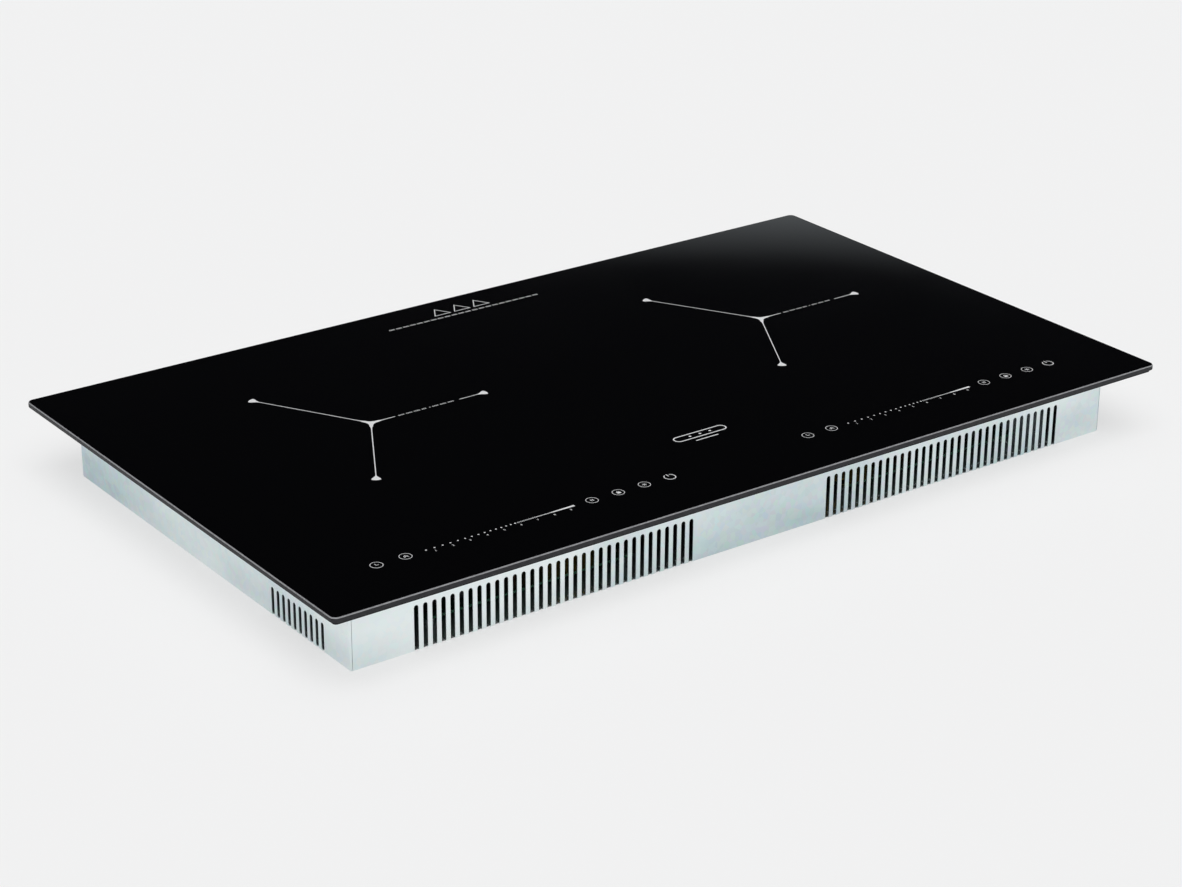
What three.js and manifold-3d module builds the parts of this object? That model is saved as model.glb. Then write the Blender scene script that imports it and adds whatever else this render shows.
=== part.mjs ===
// Two-zone built-in induction cooktop: a black glass plate bonded to a slotted sheet-steel casing that
// holds two sprung coils, two power boards with their fans, two touch boards and the mains filter.
// Millimetres, +Z up. X runs along the long side, Y towards the back, and the origin is the centre of
// the casing's underside.

import * as THREE from 'three';
import { mergeVertices } from 'three/addons/utils/BufferGeometryUtils.js';
import Module from 'manifold-3d';

const wasm = await Module();
wasm.setup();

// ---------------------------------------------------------------- driving dimensions

const GAP = 0.3; // clearance left between pieces that touch
const TOTAL_HEIGHT = 58;
const EPSILON = 1; // how far a cutter runs past the face it opens

const GLASS = { width: 730, depth: 430, thick: 4, corner: 5, bevelIn: 0.6, bevelDown: 0.9 };
const GLASS_UNDER = TOTAL_HEIGHT - GLASS.thick;

const SEAL = { inset: 2.2, band: 11, thick: 2 };
const BEAD = { band: 8, inset: 1, thick: 0.4 };

const CASE = { width: 674, depth: 375, sheet: 0.8, fold: 1.2, flange: 12 };
const CASE_TOP = GLASS_UNDER - GAP - BEAD.thick - GAP;
const SEAM = { width: 0.5, low: 1.2, high: 50 };

// Vents: rows of slots that start under a rounded top, run down the wall and wrap under the casing.
const SLOT = { width: 3.5, pitch: 7.05, wrap: 8 };
const FRONT_SLOTS = { count: 33, nearest: 62.1, shift: 1, top: 33.5 };
const SIDE_SLOTS = { count: 10, first: -153.4, top: 21.5 };

const ZONE = { x: 181.3, y: 33.8 };
const FAN = { x: 181.3, y: 62, size: 92, height: 25, bore: 43, hub: 17, blades: 7 };
const GRILLE = { radius: 42, pitch: 7, width: 3 };

const COIL = { outer: 95, inner: 24, thick: 4.5 };
const MICA = { outer: 98, inner: 10, thick: 0.5 };
const FORMER = { outer: 100, inner: 12, thick: 2.5, rim: 1.5 };
const FERRITE = { count: 6, from: 28, to: 88, width: 14, thick: 3 };
const COIL_PLATE = { radius: 101, hole: 9, thick: 1.5, ear: 10, earReach: 108 };
const SPRING = { angles: [90, 210, 330], outer: 5, inner: 4.1, stud: 3 };

// Levels of the coil stack, from the glass down.
const MICA_TOP = GLASS_UNDER - GAP;
const COIL_TOP = MICA_TOP - MICA.thick - GAP;
const FORMER_TOP = COIL_TOP - COIL.thick - GAP;
const FERRITE_TOP = FORMER_TOP - FORMER.thick - GAP;
const PLATE_TOP = FERRITE_TOP - FERRITE.thick - GAP;
const PLATE_UNDER = PLATE_TOP - COIL_PLATE.thick;

const BOARD = { thick: 1.6, under: 8, post: 3 };
const BOARD_TOP = BOARD.under + BOARD.thick;
const PART_BASE = BOARD_TOP + GAP;
const POWER_BOARD = { x: 181, y: -81, width: 170, depth: 174 };
const SINK = { x: 181, y: -45, width: 118, depth: 84, height: 24, base: 4, fins: 14, fin: 1.6 };

const FILTER_BOARD = { x: 0, y: 92, width: 132, depth: 76 };
const TERMINAL = { y: 152, width: 62, depth: 22, height: 19, ways: 5 };
const GLAND = { x: 0, z: 25, bore: 4.6, barrel: 8, flange: 11 };

const TOUCH = { x: 180.5, y: -165.8, width: 252, depth: 27, thick: 1.6 };
const TOUCH_UNDER = GLASS_UNDER - 2 - TOUCH.thick;
const CARRIER = { floor: 1.5, wall: 1.5, height: 6, leg: 8 };

// ---------------------------------------------------------------- making and cutting solids

/** A closed three.js geometry as a solid that can be joined and cut. */
function solid(geometry) {
  const bare = geometry.clone();
  bare.deleteAttribute('normal');
  bare.deleteAttribute('uv');
  const merged = mergeVertices(bare, 1e-4);
  return new wasm.Manifold(new wasm.Mesh({
    numProp: 3,
    vertProperties: merged.attributes.position.array,
    triVerts: Uint32Array.from(merged.index.array),
  }));
}

/** The triangles of a joined or cut solid as a three.js geometry. */
function geometryOf(body) {
  const mesh = body.getMesh();
  const geometry = new THREE.BufferGeometry();
  geometry.setAttribute('position', new THREE.BufferAttribute(mesh.vertProperties, 3));
  geometry.setIndex(new THREE.BufferAttribute(mesh.triVerts, 1));
  return geometry;
}

function join(pieces) {
  return pieces.map(solid).reduce((whole, piece) => whole.add(piece));
}

function cut(body, tools) {
  return tools.map(solid).reduce((rest, tool) => rest.subtract(tool), body);
}

/** A box between two corners. */
function block(x0, x1, y0, y1, z0, z1) {
  const box = new THREE.BoxGeometry(x1 - x0, y1 - y0, z1 - z0);
  return box.translate((x0 + x1) / 2, (y0 + y1) / 2, (z0 + z1) / 2);
}

/** A box of a width and depth about a centre, between two levels. */
function slab(x, y, width, depth, z0, z1) {
  return block(x - width / 2, x + width / 2, y - depth / 2, y + depth / 2, z0, z1);
}

/** An upright cylinder between two levels. */
function post(x, y, radius, z0, z1, sides = 12) {
  const cylinder = new THREE.CylinderGeometry(radius, radius, z1 - z0, sides);
  return cylinder.rotateX(Math.PI / 2).translate(x, y, (z0 + z1) / 2);
}

/** A ring, or any turned shape, about an upright axis: the profile is [radius, level] pairs. */
function turned(x, y, profile, sides) {
  const points = [...profile, profile[0]].map(([radius, level]) => new THREE.Vector2(radius, level));
  return new THREE.LatheGeometry(points, sides).rotateX(Math.PI / 2).translate(x, y, 0);
}

/** A flat ring of rectangular section about an upright axis. */
function flatRing(x, y, inner, outer, z0, z1, sides) {
  return turned(x, y, [[inner, z0], [outer, z0], [outer, z1], [inner, z1]], sides);
}

/** A rectangle about the origin with round corners. */
function roundedRectangle(width, depth, corner, outline = new THREE.Shape()) {
  const x = width / 2;
  const y = depth / 2;
  outline.moveTo(-x + corner, -y);
  outline.lineTo(x - corner, -y);
  outline.absarc(x - corner, -y + corner, corner, -Math.PI / 2, 0);
  outline.lineTo(x, y - corner);
  outline.absarc(x - corner, y - corner, corner, 0, Math.PI / 2);
  outline.lineTo(-x + corner, y);
  outline.absarc(-x + corner, y - corner, corner, Math.PI / 2, Math.PI);
  outline.lineTo(-x, -y + corner);
  outline.absarc(-x + corner, -y + corner, corner, Math.PI, 1.5 * Math.PI);
  return outline;
}

/** An outline raised from one level to another. */
function raised(outline, z0, z1, curveSegments = 3) {
  const options = { depth: z1 - z0, bevelEnabled: false, curveSegments };
  return new THREE.ExtrudeGeometry(outline, options).translate(0, 0, z0);
}

/** A flat frame: a rounded rectangle with a smaller one cut out of it. */
function flatFrame(width, depth, corner, band, z0, z1) {
  const outline = roundedRectangle(width, depth, corner);
  const insideCorner = Math.max(corner - band, 1);
  outline.holes.push(roundedRectangle(width - 2 * band, depth - 2 * band, insideCorner, new THREE.Path()));
  return raised(outline, z0, z1);
}

/** A solid with flat or twisted sides between two four-cornered ends, listed in the same turning sense. */
function sixSided(lower, upper) {
  const corners = [...lower, ...upper].flat();
  const geometry = new THREE.BufferGeometry();
  geometry.setAttribute('position', new THREE.Float32BufferAttribute(corners, 3));
  const faces = [[3, 2, 1, 0], [4, 5, 6, 7], [0, 1, 5, 4], [1, 2, 6, 5], [2, 3, 7, 6], [3, 0, 4, 7]];
  geometry.setIndex(faces.flatMap(([a, b, c, d]) => [a, b, c, a, c, d]));
  return geometry;
}

// ---------------------------------------------------------------- the assembly

const cooktop = new THREE.Group();

const FINISH = {
  blackGlass: { color: 0x050506, roughness: 0.06, metalness: 0 },
  foam: { color: 0x1c1d1e, roughness: 0.95, metalness: 0 },
  silicone: { color: 0x2a2a2a, roughness: 0.6, metalness: 0 },
  zincSteel: { color: 0xc4cdd0, roughness: 0.38, metalness: 0.85 },
  aluminium: { color: 0xc9cbcd, roughness: 0.35, metalness: 1 },
  springSteel: { color: 0xa8adb0, roughness: 0.3, metalness: 1 },
  copper: { color: 0xb4602c, roughness: 0.4, metalness: 0.8 },
  ferrite: { color: 0x33312f, roughness: 0.8, metalness: 0 },
  mica: { color: 0xb9a67e, roughness: 0.6, metalness: 0 },
  blackPlastic: { color: 0x17181a, roughness: 0.5, metalness: 0 },
  heatPlastic: { color: 0xd9d4c4, roughness: 0.6, metalness: 0 },
  laminate: { color: 0x17532f, roughness: 0.45, metalness: 0 },
  epoxyBlack: { color: 0x121213, roughness: 0.55, metalness: 0 },
  capacitorYellow: { color: 0xc9a021, roughness: 0.5, metalness: 0 },
  whitePlastic: { color: 0xe4e4df, roughness: 0.5, metalness: 0 },
};

function add(name, geometry, finish) {
  const mesh = new THREE.Mesh(geometry, new THREE.MeshStandardMaterial(FINISH[finish]));
  mesh.name = name;
  cooktop.add(mesh);
}

// ---------------------------------------------------------------- glass, seal and bond

/** The glass plate: square-cut at the bottom, with a ground bevel all round its top edge. */
function glassTop() {
  const { width, depth, thick, corner, bevelIn, bevelDown } = GLASS;
  const blank = new THREE.ExtrudeGeometry(roundedRectangle(width, depth, corner), {
    depth: thick,
    bevelEnabled: true,
    bevelSegments: 1,
    bevelThickness: bevelDown,
    bevelSize: bevelIn,
    bevelOffset: -bevelIn,
    curveSegments: 4,
  });
  blank.translate(0, 0, TOTAL_HEIGHT - bevelDown - thick);
  const below = slab(0, 0, width + 2, depth + 2, GLASS_UNDER - 2 * thick, GLASS_UNDER);
  return geometryOf(cut(solid(blank), [below]));
}

add('glass_top', glassTop(), 'blackGlass');

const SEAL_TOP = GLASS_UNDER - GAP;
const SEAL_CORNER = GLASS.corner - SEAL.inset;
add('rim_seal', flatFrame(GLASS.width - 2 * SEAL.inset, GLASS.depth - 2 * SEAL.inset, SEAL_CORNER,
  SEAL.band, SEAL_TOP - SEAL.thick, SEAL_TOP), 'foam');

const FLANGE_WIDTH = CASE.width + 2 * CASE.flange;
const FLANGE_DEPTH = CASE.depth + 2 * CASE.flange;
add('glass_bond_bead', flatFrame(FLANGE_WIDTH - 2 * BEAD.inset, FLANGE_DEPTH - 2 * BEAD.inset, 3,
  BEAD.band, SEAL_TOP - BEAD.thick, SEAL_TOP), 'silicone');

// ---------------------------------------------------------------- casing

/** The casing's outer or inner block, its vertical corners and its bottom edges folded to a radius. */
function foldedBlock(inset, top) {
  const fold = CASE.fold - inset;
  const outline = roundedRectangle(CASE.width - 2 * inset, CASE.depth - 2 * inset, fold);
  const blank = new THREE.ExtrudeGeometry(outline, {
    depth: TOTAL_HEIGHT,
    bevelEnabled: true,
    bevelSegments: 1,
    bevelThickness: fold,
    bevelSize: fold - 0.1,
    bevelOffset: 0.1 - fold,
    curveSegments: 3,
  });
  blank.translate(0, 0, inset + fold);
  const above = slab(0, 0, CASE.width + 9, CASE.depth + 9, top, 2 * TOTAL_HEIGHT);
  return cut(solid(blank), [above]);
}

/** A slot's outline across the wall: straight sides under a round top, open past the casing's underside. */
function slotOutline(centre, top) {
  const outline = new THREE.Shape();
  const half = SLOT.width / 2;
  outline.moveTo(centre - half, -EPSILON);
  outline.lineTo(centre + half, -EPSILON);
  outline.absarc(centre, top - half, half, 0, Math.PI);
  return outline;
}

/** Cutters for the slots of the front wall, left and right of its plain middle. */
function frontSlots() {
  const cutters = [];
  for (const side of [-1, 1]) {
    for (let i = 0; i < FRONT_SLOTS.count; i += 1) {
      const centre = side * (FRONT_SLOTS.nearest + i * SLOT.pitch) + FRONT_SLOTS.shift;
      const cutter = raised(slotOutline(centre, FRONT_SLOTS.top), 0, SLOT.wrap + EPSILON, 3);
      cutters.push(cutter.rotateX(Math.PI / 2).translate(0, SLOT.wrap - CASE.depth / 2, 0));
    }
  }
  return cutters;
}

/** Cutters for the slots near the front end of both side walls. */
function sideSlots() {
  const cutters = [];
  for (const side of [-1, 1]) {
    for (let i = 0; i < SIDE_SLOTS.count; i += 1) {
      const centre = SIDE_SLOTS.first + i * SLOT.pitch;
      const cutter = raised(slotOutline(centre, SIDE_SLOTS.top), 0, SLOT.wrap + EPSILON, 3);
      cutter.rotateX(Math.PI / 2).rotateZ(Math.PI / 2);
      const inner = side > 0 ? CASE.width / 2 - SLOT.wrap : -CASE.width / 2 - EPSILON;
      cutters.push(cutter.translate(inner, 0, 0));
    }
  }
  return cutters;
}

/** Cutters for the round air intake under one fan: parallel slots whose lengths follow a circle. */
function intakeSlots(side) {
  const cutters = [];
  const rows = Math.floor((2 * GRILLE.radius) / GRILLE.pitch);
  for (let i = 0; i < rows; i += 1) {
    const offset = (i - (rows - 1) / 2) * GRILLE.pitch;
    const half = Math.sqrt(GRILLE.radius ** 2 - offset ** 2);
    const x = side * FAN.x + offset;
    cutters.push(block(x - GRILLE.width / 2, x + GRILLE.width / 2, FAN.y - half, FAN.y + half,
      -EPSILON, CASE.sheet + EPSILON));
  }
  return cutters;
}

/** Cutters for the open seams where the front and rear walls butt against the side walls' folds. */
function cornerSeams() {
  const cutters = [];
  for (const x of [-1, 1]) {
    for (const y of [-1, 1]) {
      const seamX = x * (CASE.width / 2 - CASE.fold - SEAM.width / 2);
      cutters.push(slab(seamX, y * CASE.depth / 2, SEAM.width, 4 * CASE.sheet, SEAM.low, SEAM.high));
    }
  }
  return cutters;
}

/** Where a board's four corner posts stand. */
function boardCorners({ x, y, width, depth }) {
  const inset = 2 * BOARD.post;
  const places = [];
  for (const i of [-1, 1]) {
    for (const j of [-1, 1]) {
      places.push([x + i * (width / 2 - inset), y + j * (depth / 2 - inset)]);
    }
  }
  return places;
}

/** Where one zone's springs stand. */
function springPlaces(side) {
  return SPRING.angles.map((angle) => {
    const turn = THREE.MathUtils.degToRad(angle);
    const { earReach } = COIL_PLATE;
    return [side * ZONE.x + earReach * Math.cos(turn), ZONE.y + earReach * Math.sin(turn)];
  });
}

/** The folded steel tray with its glued flange, slots, intakes, cable hole, board posts and spring studs. */
function casingTray() {
  const flange = roundedRectangle(FLANGE_WIDTH, FLANGE_DEPTH, 4);
  const shell = foldedBlock(0, CASE_TOP)
    .add(solid(raised(flange, CASE_TOP - CASE.sheet, CASE_TOP)))
    .subtract(foldedBlock(CASE.sheet, CASE_TOP + EPSILON));
  const hole = post(GLAND.x, GLAND.z, GLAND.barrel + GAP, 0, 8 * CASE.sheet, 16);
  hole.rotateX(Math.PI / 2).translate(0, CASE.depth / 2 + 4 * CASE.sheet, 0);
  const vents = [...frontSlots(), ...sideSlots(), ...intakeSlots(-1), ...intakeSlots(1)];
  const boards = [FILTER_BOARD, POWER_BOARD, { ...POWER_BOARD, x: -POWER_BOARD.x }];
  const standing = boards.flatMap(boardCorners).map(([x, y]) => {
    return post(x, y, BOARD.post, CASE.sheet / 2, BOARD.under - GAP, 8);
  });
  const studs = [...springPlaces(-1), ...springPlaces(1)].map(([x, y]) => {
    return post(x, y, SPRING.stud, CASE.sheet / 2, PLATE_UNDER / 2, 8);
  });
  return geometryOf(cut(shell, [...vents, ...cornerSeams(), hole]).add(join([...standing, ...studs])));
}

add('casing_tray', casingTray(), 'zincSteel');

/** The cable's grommet in the rear wall: a flange on both faces, a tapered nose outside and an open bore. */
function cableGland() {
  const wallOut = CASE.depth / 2;
  const wallIn = wallOut - CASE.sheet;
  const { bore, barrel, flange } = GLAND;
  const profile = [
    [bore, wallIn - 6], [flange - 1, wallIn - 6], [flange - 1, wallIn - GAP], [barrel, wallIn - GAP],
    [barrel, wallOut + GAP], [flange, wallOut + GAP], [flange, wallOut + 3], [bore + 2.5, wallOut + 12],
    [bore, wallOut + 12],
  ];
  const points = [...profile, profile[0]].map(([radius, along]) => new THREE.Vector2(radius, along));
  return new THREE.LatheGeometry(points, 16).translate(GLAND.x, 0, GLAND.z);
}

add('cable_gland', cableGland(), 'blackPlastic');

// ---------------------------------------------------------------- coils

/** The aluminium plate that carries a coil: a disc with three ears that sit on the springs. */
function coilPlate(x, side) {
  const disc = post(x, ZONE.y, COIL_PLATE.radius, PLATE_UNDER, PLATE_TOP, 32);
  const ears = springPlaces(side).map(([earX, earY]) => {
    return post(earX, earY, COIL_PLATE.ear, PLATE_UNDER, PLATE_TOP, 12);
  });
  const hole = post(x, ZONE.y, COIL_PLATE.hole, PLATE_UNDER - 1, PLATE_TOP + 1, 16);
  return geometryOf(cut(join([disc, ...ears]), [hole]));
}

/** The moulded former under a winding: a flat ring with a low rim outside it and a collar inside it. */
function coilFormer(x) {
  const { outer, inner, thick, rim } = FORMER;
  const low = FORMER_TOP - thick;
  const high = FORMER_TOP + COIL.thick;
  const profile = [
    [inner, low], [outer, low], [outer, high], [outer - rim, high], [outer - rim, FORMER_TOP],
    [inner + rim, FORMER_TOP], [inner + rim, high], [inner, high],
  ];
  return turned(x, ZONE.y, profile, 32);
}

/** One ferrite bar, lying outwards from the middle of the coil. */
function ferriteBar(x, index) {
  const { count, from, to, width, thick } = FERRITE;
  const bar = block(from, to, -width / 2, width / 2, FERRITE_TOP - thick, FERRITE_TOP);
  return bar.rotateZ((index * 2 * Math.PI) / count).translate(x, ZONE.y, 0);
}

/** The thermistor's holder: a foot on the plate and a stem that reaches the glass. */
function temperatureSensor(x) {
  const profile = [
    [0, PLATE_TOP + GAP], [11, PLATE_TOP + GAP], [11, PLATE_TOP + 2], [7, FORMER_TOP - 2],
    [7, MICA_TOP - 1], [6, MICA_TOP], [0, MICA_TOP],
  ];
  const points = profile.map(([radius, level]) => new THREE.Vector2(radius, level));
  return new THREE.LatheGeometry(points, 16).rotateX(Math.PI / 2).translate(x, ZONE.y, 0);
}

function addCoil(name, side) {
  const x = side * ZONE.x;
  add(`${name}_coil_plate`, coilPlate(x, side), 'aluminium');
  add(`${name}_coil_former`, coilFormer(x), 'heatPlastic');
  const winding = flatRing(x, ZONE.y, COIL.inner, COIL.outer, COIL_TOP - COIL.thick, COIL_TOP, 32);
  add(`${name}_coil_winding`, winding, 'copper');
  const mica = flatRing(x, ZONE.y, MICA.inner, MICA.outer, MICA_TOP - MICA.thick, MICA_TOP, 32);
  add(`${name}_mica_sheet`, mica, 'mica');
  add(`${name}_temperature_sensor`, temperatureSensor(x), 'whitePlastic');
  for (let i = 0; i < FERRITE.count; i += 1) {
    add(`${name}_ferrite_bar_${i + 1}`, ferriteBar(x, i), 'ferrite');
  }
  springPlaces(side).forEach(([springX, springY], i) => {
    const { inner, outer } = SPRING;
    const spring = flatRing(springX, springY, inner, outer, CASE.sheet + GAP, PLATE_UNDER - GAP, 12);
    add(`${name}_coil_spring_${i + 1}`, spring, 'springSteel');
  });
}

// ---------------------------------------------------------------- fans

const FAN_BASE = CASE.sheet + GAP;
const FAN_TOP = FAN_BASE + FAN.height;
const FAN_PLATE = 2.5;
const SHAFT = { radius: 1.5, sleeve: 4 };

/** A fan's square frame: a round duct, with the motor's seat and bearing sleeve held by four struts below. */
function fanFrame(x) {
  const { y, size, bore } = FAN;
  const half = size / 2;
  const corners = [[-half, -half], [half, -half], [half, half], [-half, half]];
  const outline = new THREE.Shape(corners.map(([i, j]) => new THREE.Vector2(i, j)));
  outline.holes.push(new THREE.Path().absarc(0, 0, bore, 0, 2 * Math.PI));
  const body = solid(raised(outline, FAN_BASE, FAN_TOP, 14).translate(x, y, 0));
  const struts = [0, 1].map((turn) => {
    const bar = block(-bore - 1, bore + 1, -2, 2, FAN_BASE, FAN_BASE + FAN_PLATE);
    return bar.rotateZ(Math.PI / 4 + turn * Math.PI / 2).translate(x, y, 0);
  });
  const seat = post(x, y, FAN.hub, FAN_BASE, FAN_BASE + FAN_PLATE, 16);
  const sleeve = post(x, y, SHAFT.sleeve, FAN_BASE, FAN_TOP - 8, 8);
  const bearing = post(x, y, SHAFT.radius + GAP, FAN_BASE + FAN_PLATE, FAN_TOP, 8);
  return geometryOf(cut(body.add(join([...struts, seat, sleeve])), [bearing]));
}

/** One blade, as a twisted plate: steep and short at the hub, flat and long at the tip. */
function blade(turn) {
  const middle = FAN_BASE + FAN_PLATE + (FAN.height - FAN_PLATE) / 2;
  const end = (radius, chord, pitch, thick) => {
    const along = [Math.cos(pitch) * chord / 2, Math.sin(pitch) * chord / 2];
    const across = [-Math.sin(pitch) * thick / 2, Math.cos(pitch) * thick / 2];
    return [[-1, -1], [1, -1], [1, 1], [-1, 1]].map(([i, j]) => {
      return [i * along[0] + j * across[0], radius, middle + i * along[1] + j * across[1]];
    });
  };
  const root = end(FAN.hub - 1.5, 19, THREE.MathUtils.degToRad(48), 2);
  const tip = end(FAN.bore - 3.5, 26, THREE.MathUtils.degToRad(27), 1.4);
  return sixSided(tip, root).rotateZ(turn);
}

/** A fan's rotor: a cup over the motor, the shaft in its middle and the blades round it. */
function fanImpeller(x) {
  const low = FAN_BASE + FAN_PLATE + GAP;
  const high = FAN_TOP - 1;
  const cup = post(0, 0, FAN.hub, low, high, 20);
  const hollow = post(0, 0, FAN.hub - 2, low - 1, high - 2, 20);
  const shaft = post(0, 0, SHAFT.radius, low + 2, high - 1, 8);
  const blades = Array.from({ length: FAN.blades }, (_, i) => blade((i * 2 * Math.PI) / FAN.blades));
  const rotor = join([cup, ...blades]).subtract(solid(hollow)).add(solid(shaft));
  return geometryOf(rotor).translate(x, FAN.y, 0);
}

// ---------------------------------------------------------------- power electronics

/** An extruded heat sink: a thick base with upright fins that run with the air stream. */
function heatSink(x) {
  const { y, width, depth, height, base, fins, fin } = SINK;
  const low = PART_BASE;
  const outline = new THREE.Shape();
  outline.moveTo(-width / 2, 0);
  outline.lineTo(width / 2, 0);
  const pitch = (width - fin) / (fins - 1);
  for (let i = fins - 1; i >= 0; i -= 1) {
    const left = -width / 2 + i * pitch;
    outline.lineTo(left + fin, i === fins - 1 ? height : base);
    outline.lineTo(left + fin, height);
    outline.lineTo(left, height);
    outline.lineTo(left, base);
  }
  const bar = raised(outline, 0, depth);
  return bar.rotateX(Math.PI / 2).translate(x, y + depth / 2, low);
}

/** A flat-pack semiconductor stood against the heat sink, on its legs. */
function flatPack(x, y, width, height, legs) {
  const low = PART_BASE;
  const body = block(x - 2.4, x + 2.4, y - width / 2, y + width / 2, low + 3, low + 3 + height);
  const feet = Array.from({ length: legs }, (_, i) => {
    const along = y + (i - (legs - 1) / 2) * (width / legs);
    return block(x - 0.5, x + 0.5, along - 0.7, along + 0.7, low, low + 4);
  });
  return geometryOf(join([body, ...feet]));
}

/** A box-shaped part that stands on a board. */
function boxedPart(x, y, width, depth, height) {
  return slab(x, y, width, depth, PART_BASE, PART_BASE + height);
}

/** A wound ring that lies on a board. */
function ringChoke(x, y, inner, outer, height) {
  const low = PART_BASE;
  const high = low + height;
  const profile = [
    [inner, low + 2], [inner + 2, low], [outer - 2, low], [outer, low + 2],
    [outer, high - 2], [outer - 2, high], [inner + 2, high], [inner, high - 2],
  ];
  return turned(x, y, profile, 16);
}

function addPowerSide(name, side) {
  const x = side * POWER_BOARD.x;
  const { y, width, depth } = POWER_BOARD;
  add(`${name}_power_board`, slab(x, y, width, depth, BOARD.under, BOARD_TOP), 'laminate');
  add(`${name}_heat_sink`, heatSink(side * SINK.x), 'aluminium');
  const wall = side * (SINK.x + SINK.width / 2 + GAP + 2.4);
  add(`${name}_power_transistor`, flatPack(wall, SINK.y - 18, 16, 20, 3), 'epoxyBlack');
  add(`${name}_bridge_rectifier`, flatPack(wall, SINK.y + 18, 26, 16, 4), 'epoxyBlack');
  add(`${name}_resonant_capacitor`, boxedPart(side * (SINK.x - 52), -128, 42, 22, 26), 'capacitorYellow');
  add(`${name}_filter_choke`, ringChoke(side * (SINK.x - 4), -126, 7, 19, 17), 'copper');
  add(`${name}_fan_frame`, fanFrame(side * FAN.x), 'blackPlastic');
  add(`${name}_fan_impeller`, fanImpeller(side * FAN.x), 'blackPlastic');
}

// ---------------------------------------------------------------- touch controls

/** The moulded channel that carries a touch board under the glass, on two legs that stand on the casing. */
function touchCarrier(x) {
  const { floor, wall, height, leg } = CARRIER;
  const top = TOUCH_UNDER - GAP;
  const width = TOUCH.width + 8;
  const depth = TOUCH.depth + 4;
  const channel = slab(x, TOUCH.y, width, depth, top - height, top);
  const hollow = slab(x, TOUCH.y, width - 2 * wall, depth - 2 * wall, top - height + floor, top + 1);
  const legs = [-1, 1].map((end) => {
    return slab(x + end * (width / 2 - leg / 2), TOUCH.y, leg, leg, CASE.sheet + GAP, top - height + floor);
  });
  return geometryOf(cut(solid(channel), [hollow]).add(join(legs)));
}

function addTouchSide(name, side) {
  const x = side * TOUCH.x;
  const board = slab(x, TOUCH.y, TOUCH.width + 6, TOUCH.depth + 2, TOUCH_UNDER, TOUCH_UNDER + TOUCH.thick);
  add(`${name}_touch_carrier`, touchCarrier(x), 'blackPlastic');
  add(`${name}_touch_board`, board, 'laminate');
}

for (const [name, side] of [['left', -1], ['right', 1]]) {
  addCoil(name, side);
  addPowerSide(name, side);
  addTouchSide(name, side);
}

// ---------------------------------------------------------------- mains input

/** The terminal block: one screw well for each wire, open at the top, with a low ledge in front. */
function terminalBlock() {
  const { y, width, depth, height, ways } = TERMINAL;
  const low = CASE.sheet + GAP;
  const body = slab(0, y, width, depth * 0.6, low, low + height);
  const ledge = slab(0, y, width, depth, low, low + height * 0.55);
  const wells = Array.from({ length: ways }, (_, i) => {
    const x = (i - (ways - 1) / 2) * (width / ways);
    return slab(x, y, width / ways - 2.5, depth * 0.42, low + height * 0.45, low + height + 1);
  });
  return geometryOf(cut(join([body, ledge]), wells));
}

add('filter_board', slab(FILTER_BOARD.x, FILTER_BOARD.y, FILTER_BOARD.width, FILTER_BOARD.depth,
  BOARD.under, BOARD_TOP), 'laminate');
add('mains_choke', ringChoke(-32, FILTER_BOARD.y, 8, 21, 19), 'copper');
add('mains_capacitor', boxedPart(26, FILTER_BOARD.y + 8, 32, 17, 24), 'capacitorYellow');
add('terminal_block', terminalBlock(), 'whitePlastic');

export default cooktop;
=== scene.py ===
"""The finished look of a built-in induction cooktop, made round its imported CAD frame.

Pieces are worked out in millimetres, and MM turns them into metres when their meshes are made. The camera,
the floor and the scales of the materials are in metres.
"""

import math

import bmesh
import bpy
import numpy as np
from mathutils import Euler, Matrix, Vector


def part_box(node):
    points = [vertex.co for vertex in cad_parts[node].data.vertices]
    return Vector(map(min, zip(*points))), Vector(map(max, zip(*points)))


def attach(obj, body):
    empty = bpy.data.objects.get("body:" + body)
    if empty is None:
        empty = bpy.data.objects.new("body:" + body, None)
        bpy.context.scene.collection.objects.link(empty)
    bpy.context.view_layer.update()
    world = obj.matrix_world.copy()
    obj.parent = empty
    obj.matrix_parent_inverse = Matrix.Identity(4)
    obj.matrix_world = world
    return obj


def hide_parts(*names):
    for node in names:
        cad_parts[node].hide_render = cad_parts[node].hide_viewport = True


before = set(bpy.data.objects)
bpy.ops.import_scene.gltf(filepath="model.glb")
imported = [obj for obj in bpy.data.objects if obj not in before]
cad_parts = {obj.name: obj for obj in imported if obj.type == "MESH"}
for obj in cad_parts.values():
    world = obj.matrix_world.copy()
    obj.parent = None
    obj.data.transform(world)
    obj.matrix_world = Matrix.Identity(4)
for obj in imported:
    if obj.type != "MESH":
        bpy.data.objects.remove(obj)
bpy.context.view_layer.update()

MM = 0.001
BODY = "cooktop"


def node_box(node):
    """A CAD node's lowest and highest corner, in millimetres."""
    low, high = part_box(node)
    return np.array(low) / MM, np.array(high) / MM


# ---------------------------------------------------------------- camera, floor and light

CAMERA_PLACE = (-1.1551, -1.5552, 0.8527)
CAMERA_YAW = 36.38
CAMERA_PITCH = 23.56
CAMERA_ROLL = 0.39
CAMERA_LENS = 85.45


def add_camera():
    """A camera in front of the cooktop's left corner, looking down on it."""
    data = bpy.data.cameras.new("camera")
    data.lens = CAMERA_LENS
    data.sensor_width = 36.0
    data.clip_end = 60.0
    camera = bpy.data.objects.new("camera", data)
    bpy.context.scene.collection.objects.link(camera)
    aim = Euler((math.radians(90 - CAMERA_PITCH), 0, math.radians(-CAMERA_YAW))).to_matrix().to_4x4()
    roll = Matrix.Rotation(math.radians(CAMERA_ROLL), 4, "Z")
    camera.matrix_world = Matrix.Translation(CAMERA_PLACE) @ aim @ roll
    bpy.context.scene.camera = camera


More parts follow.
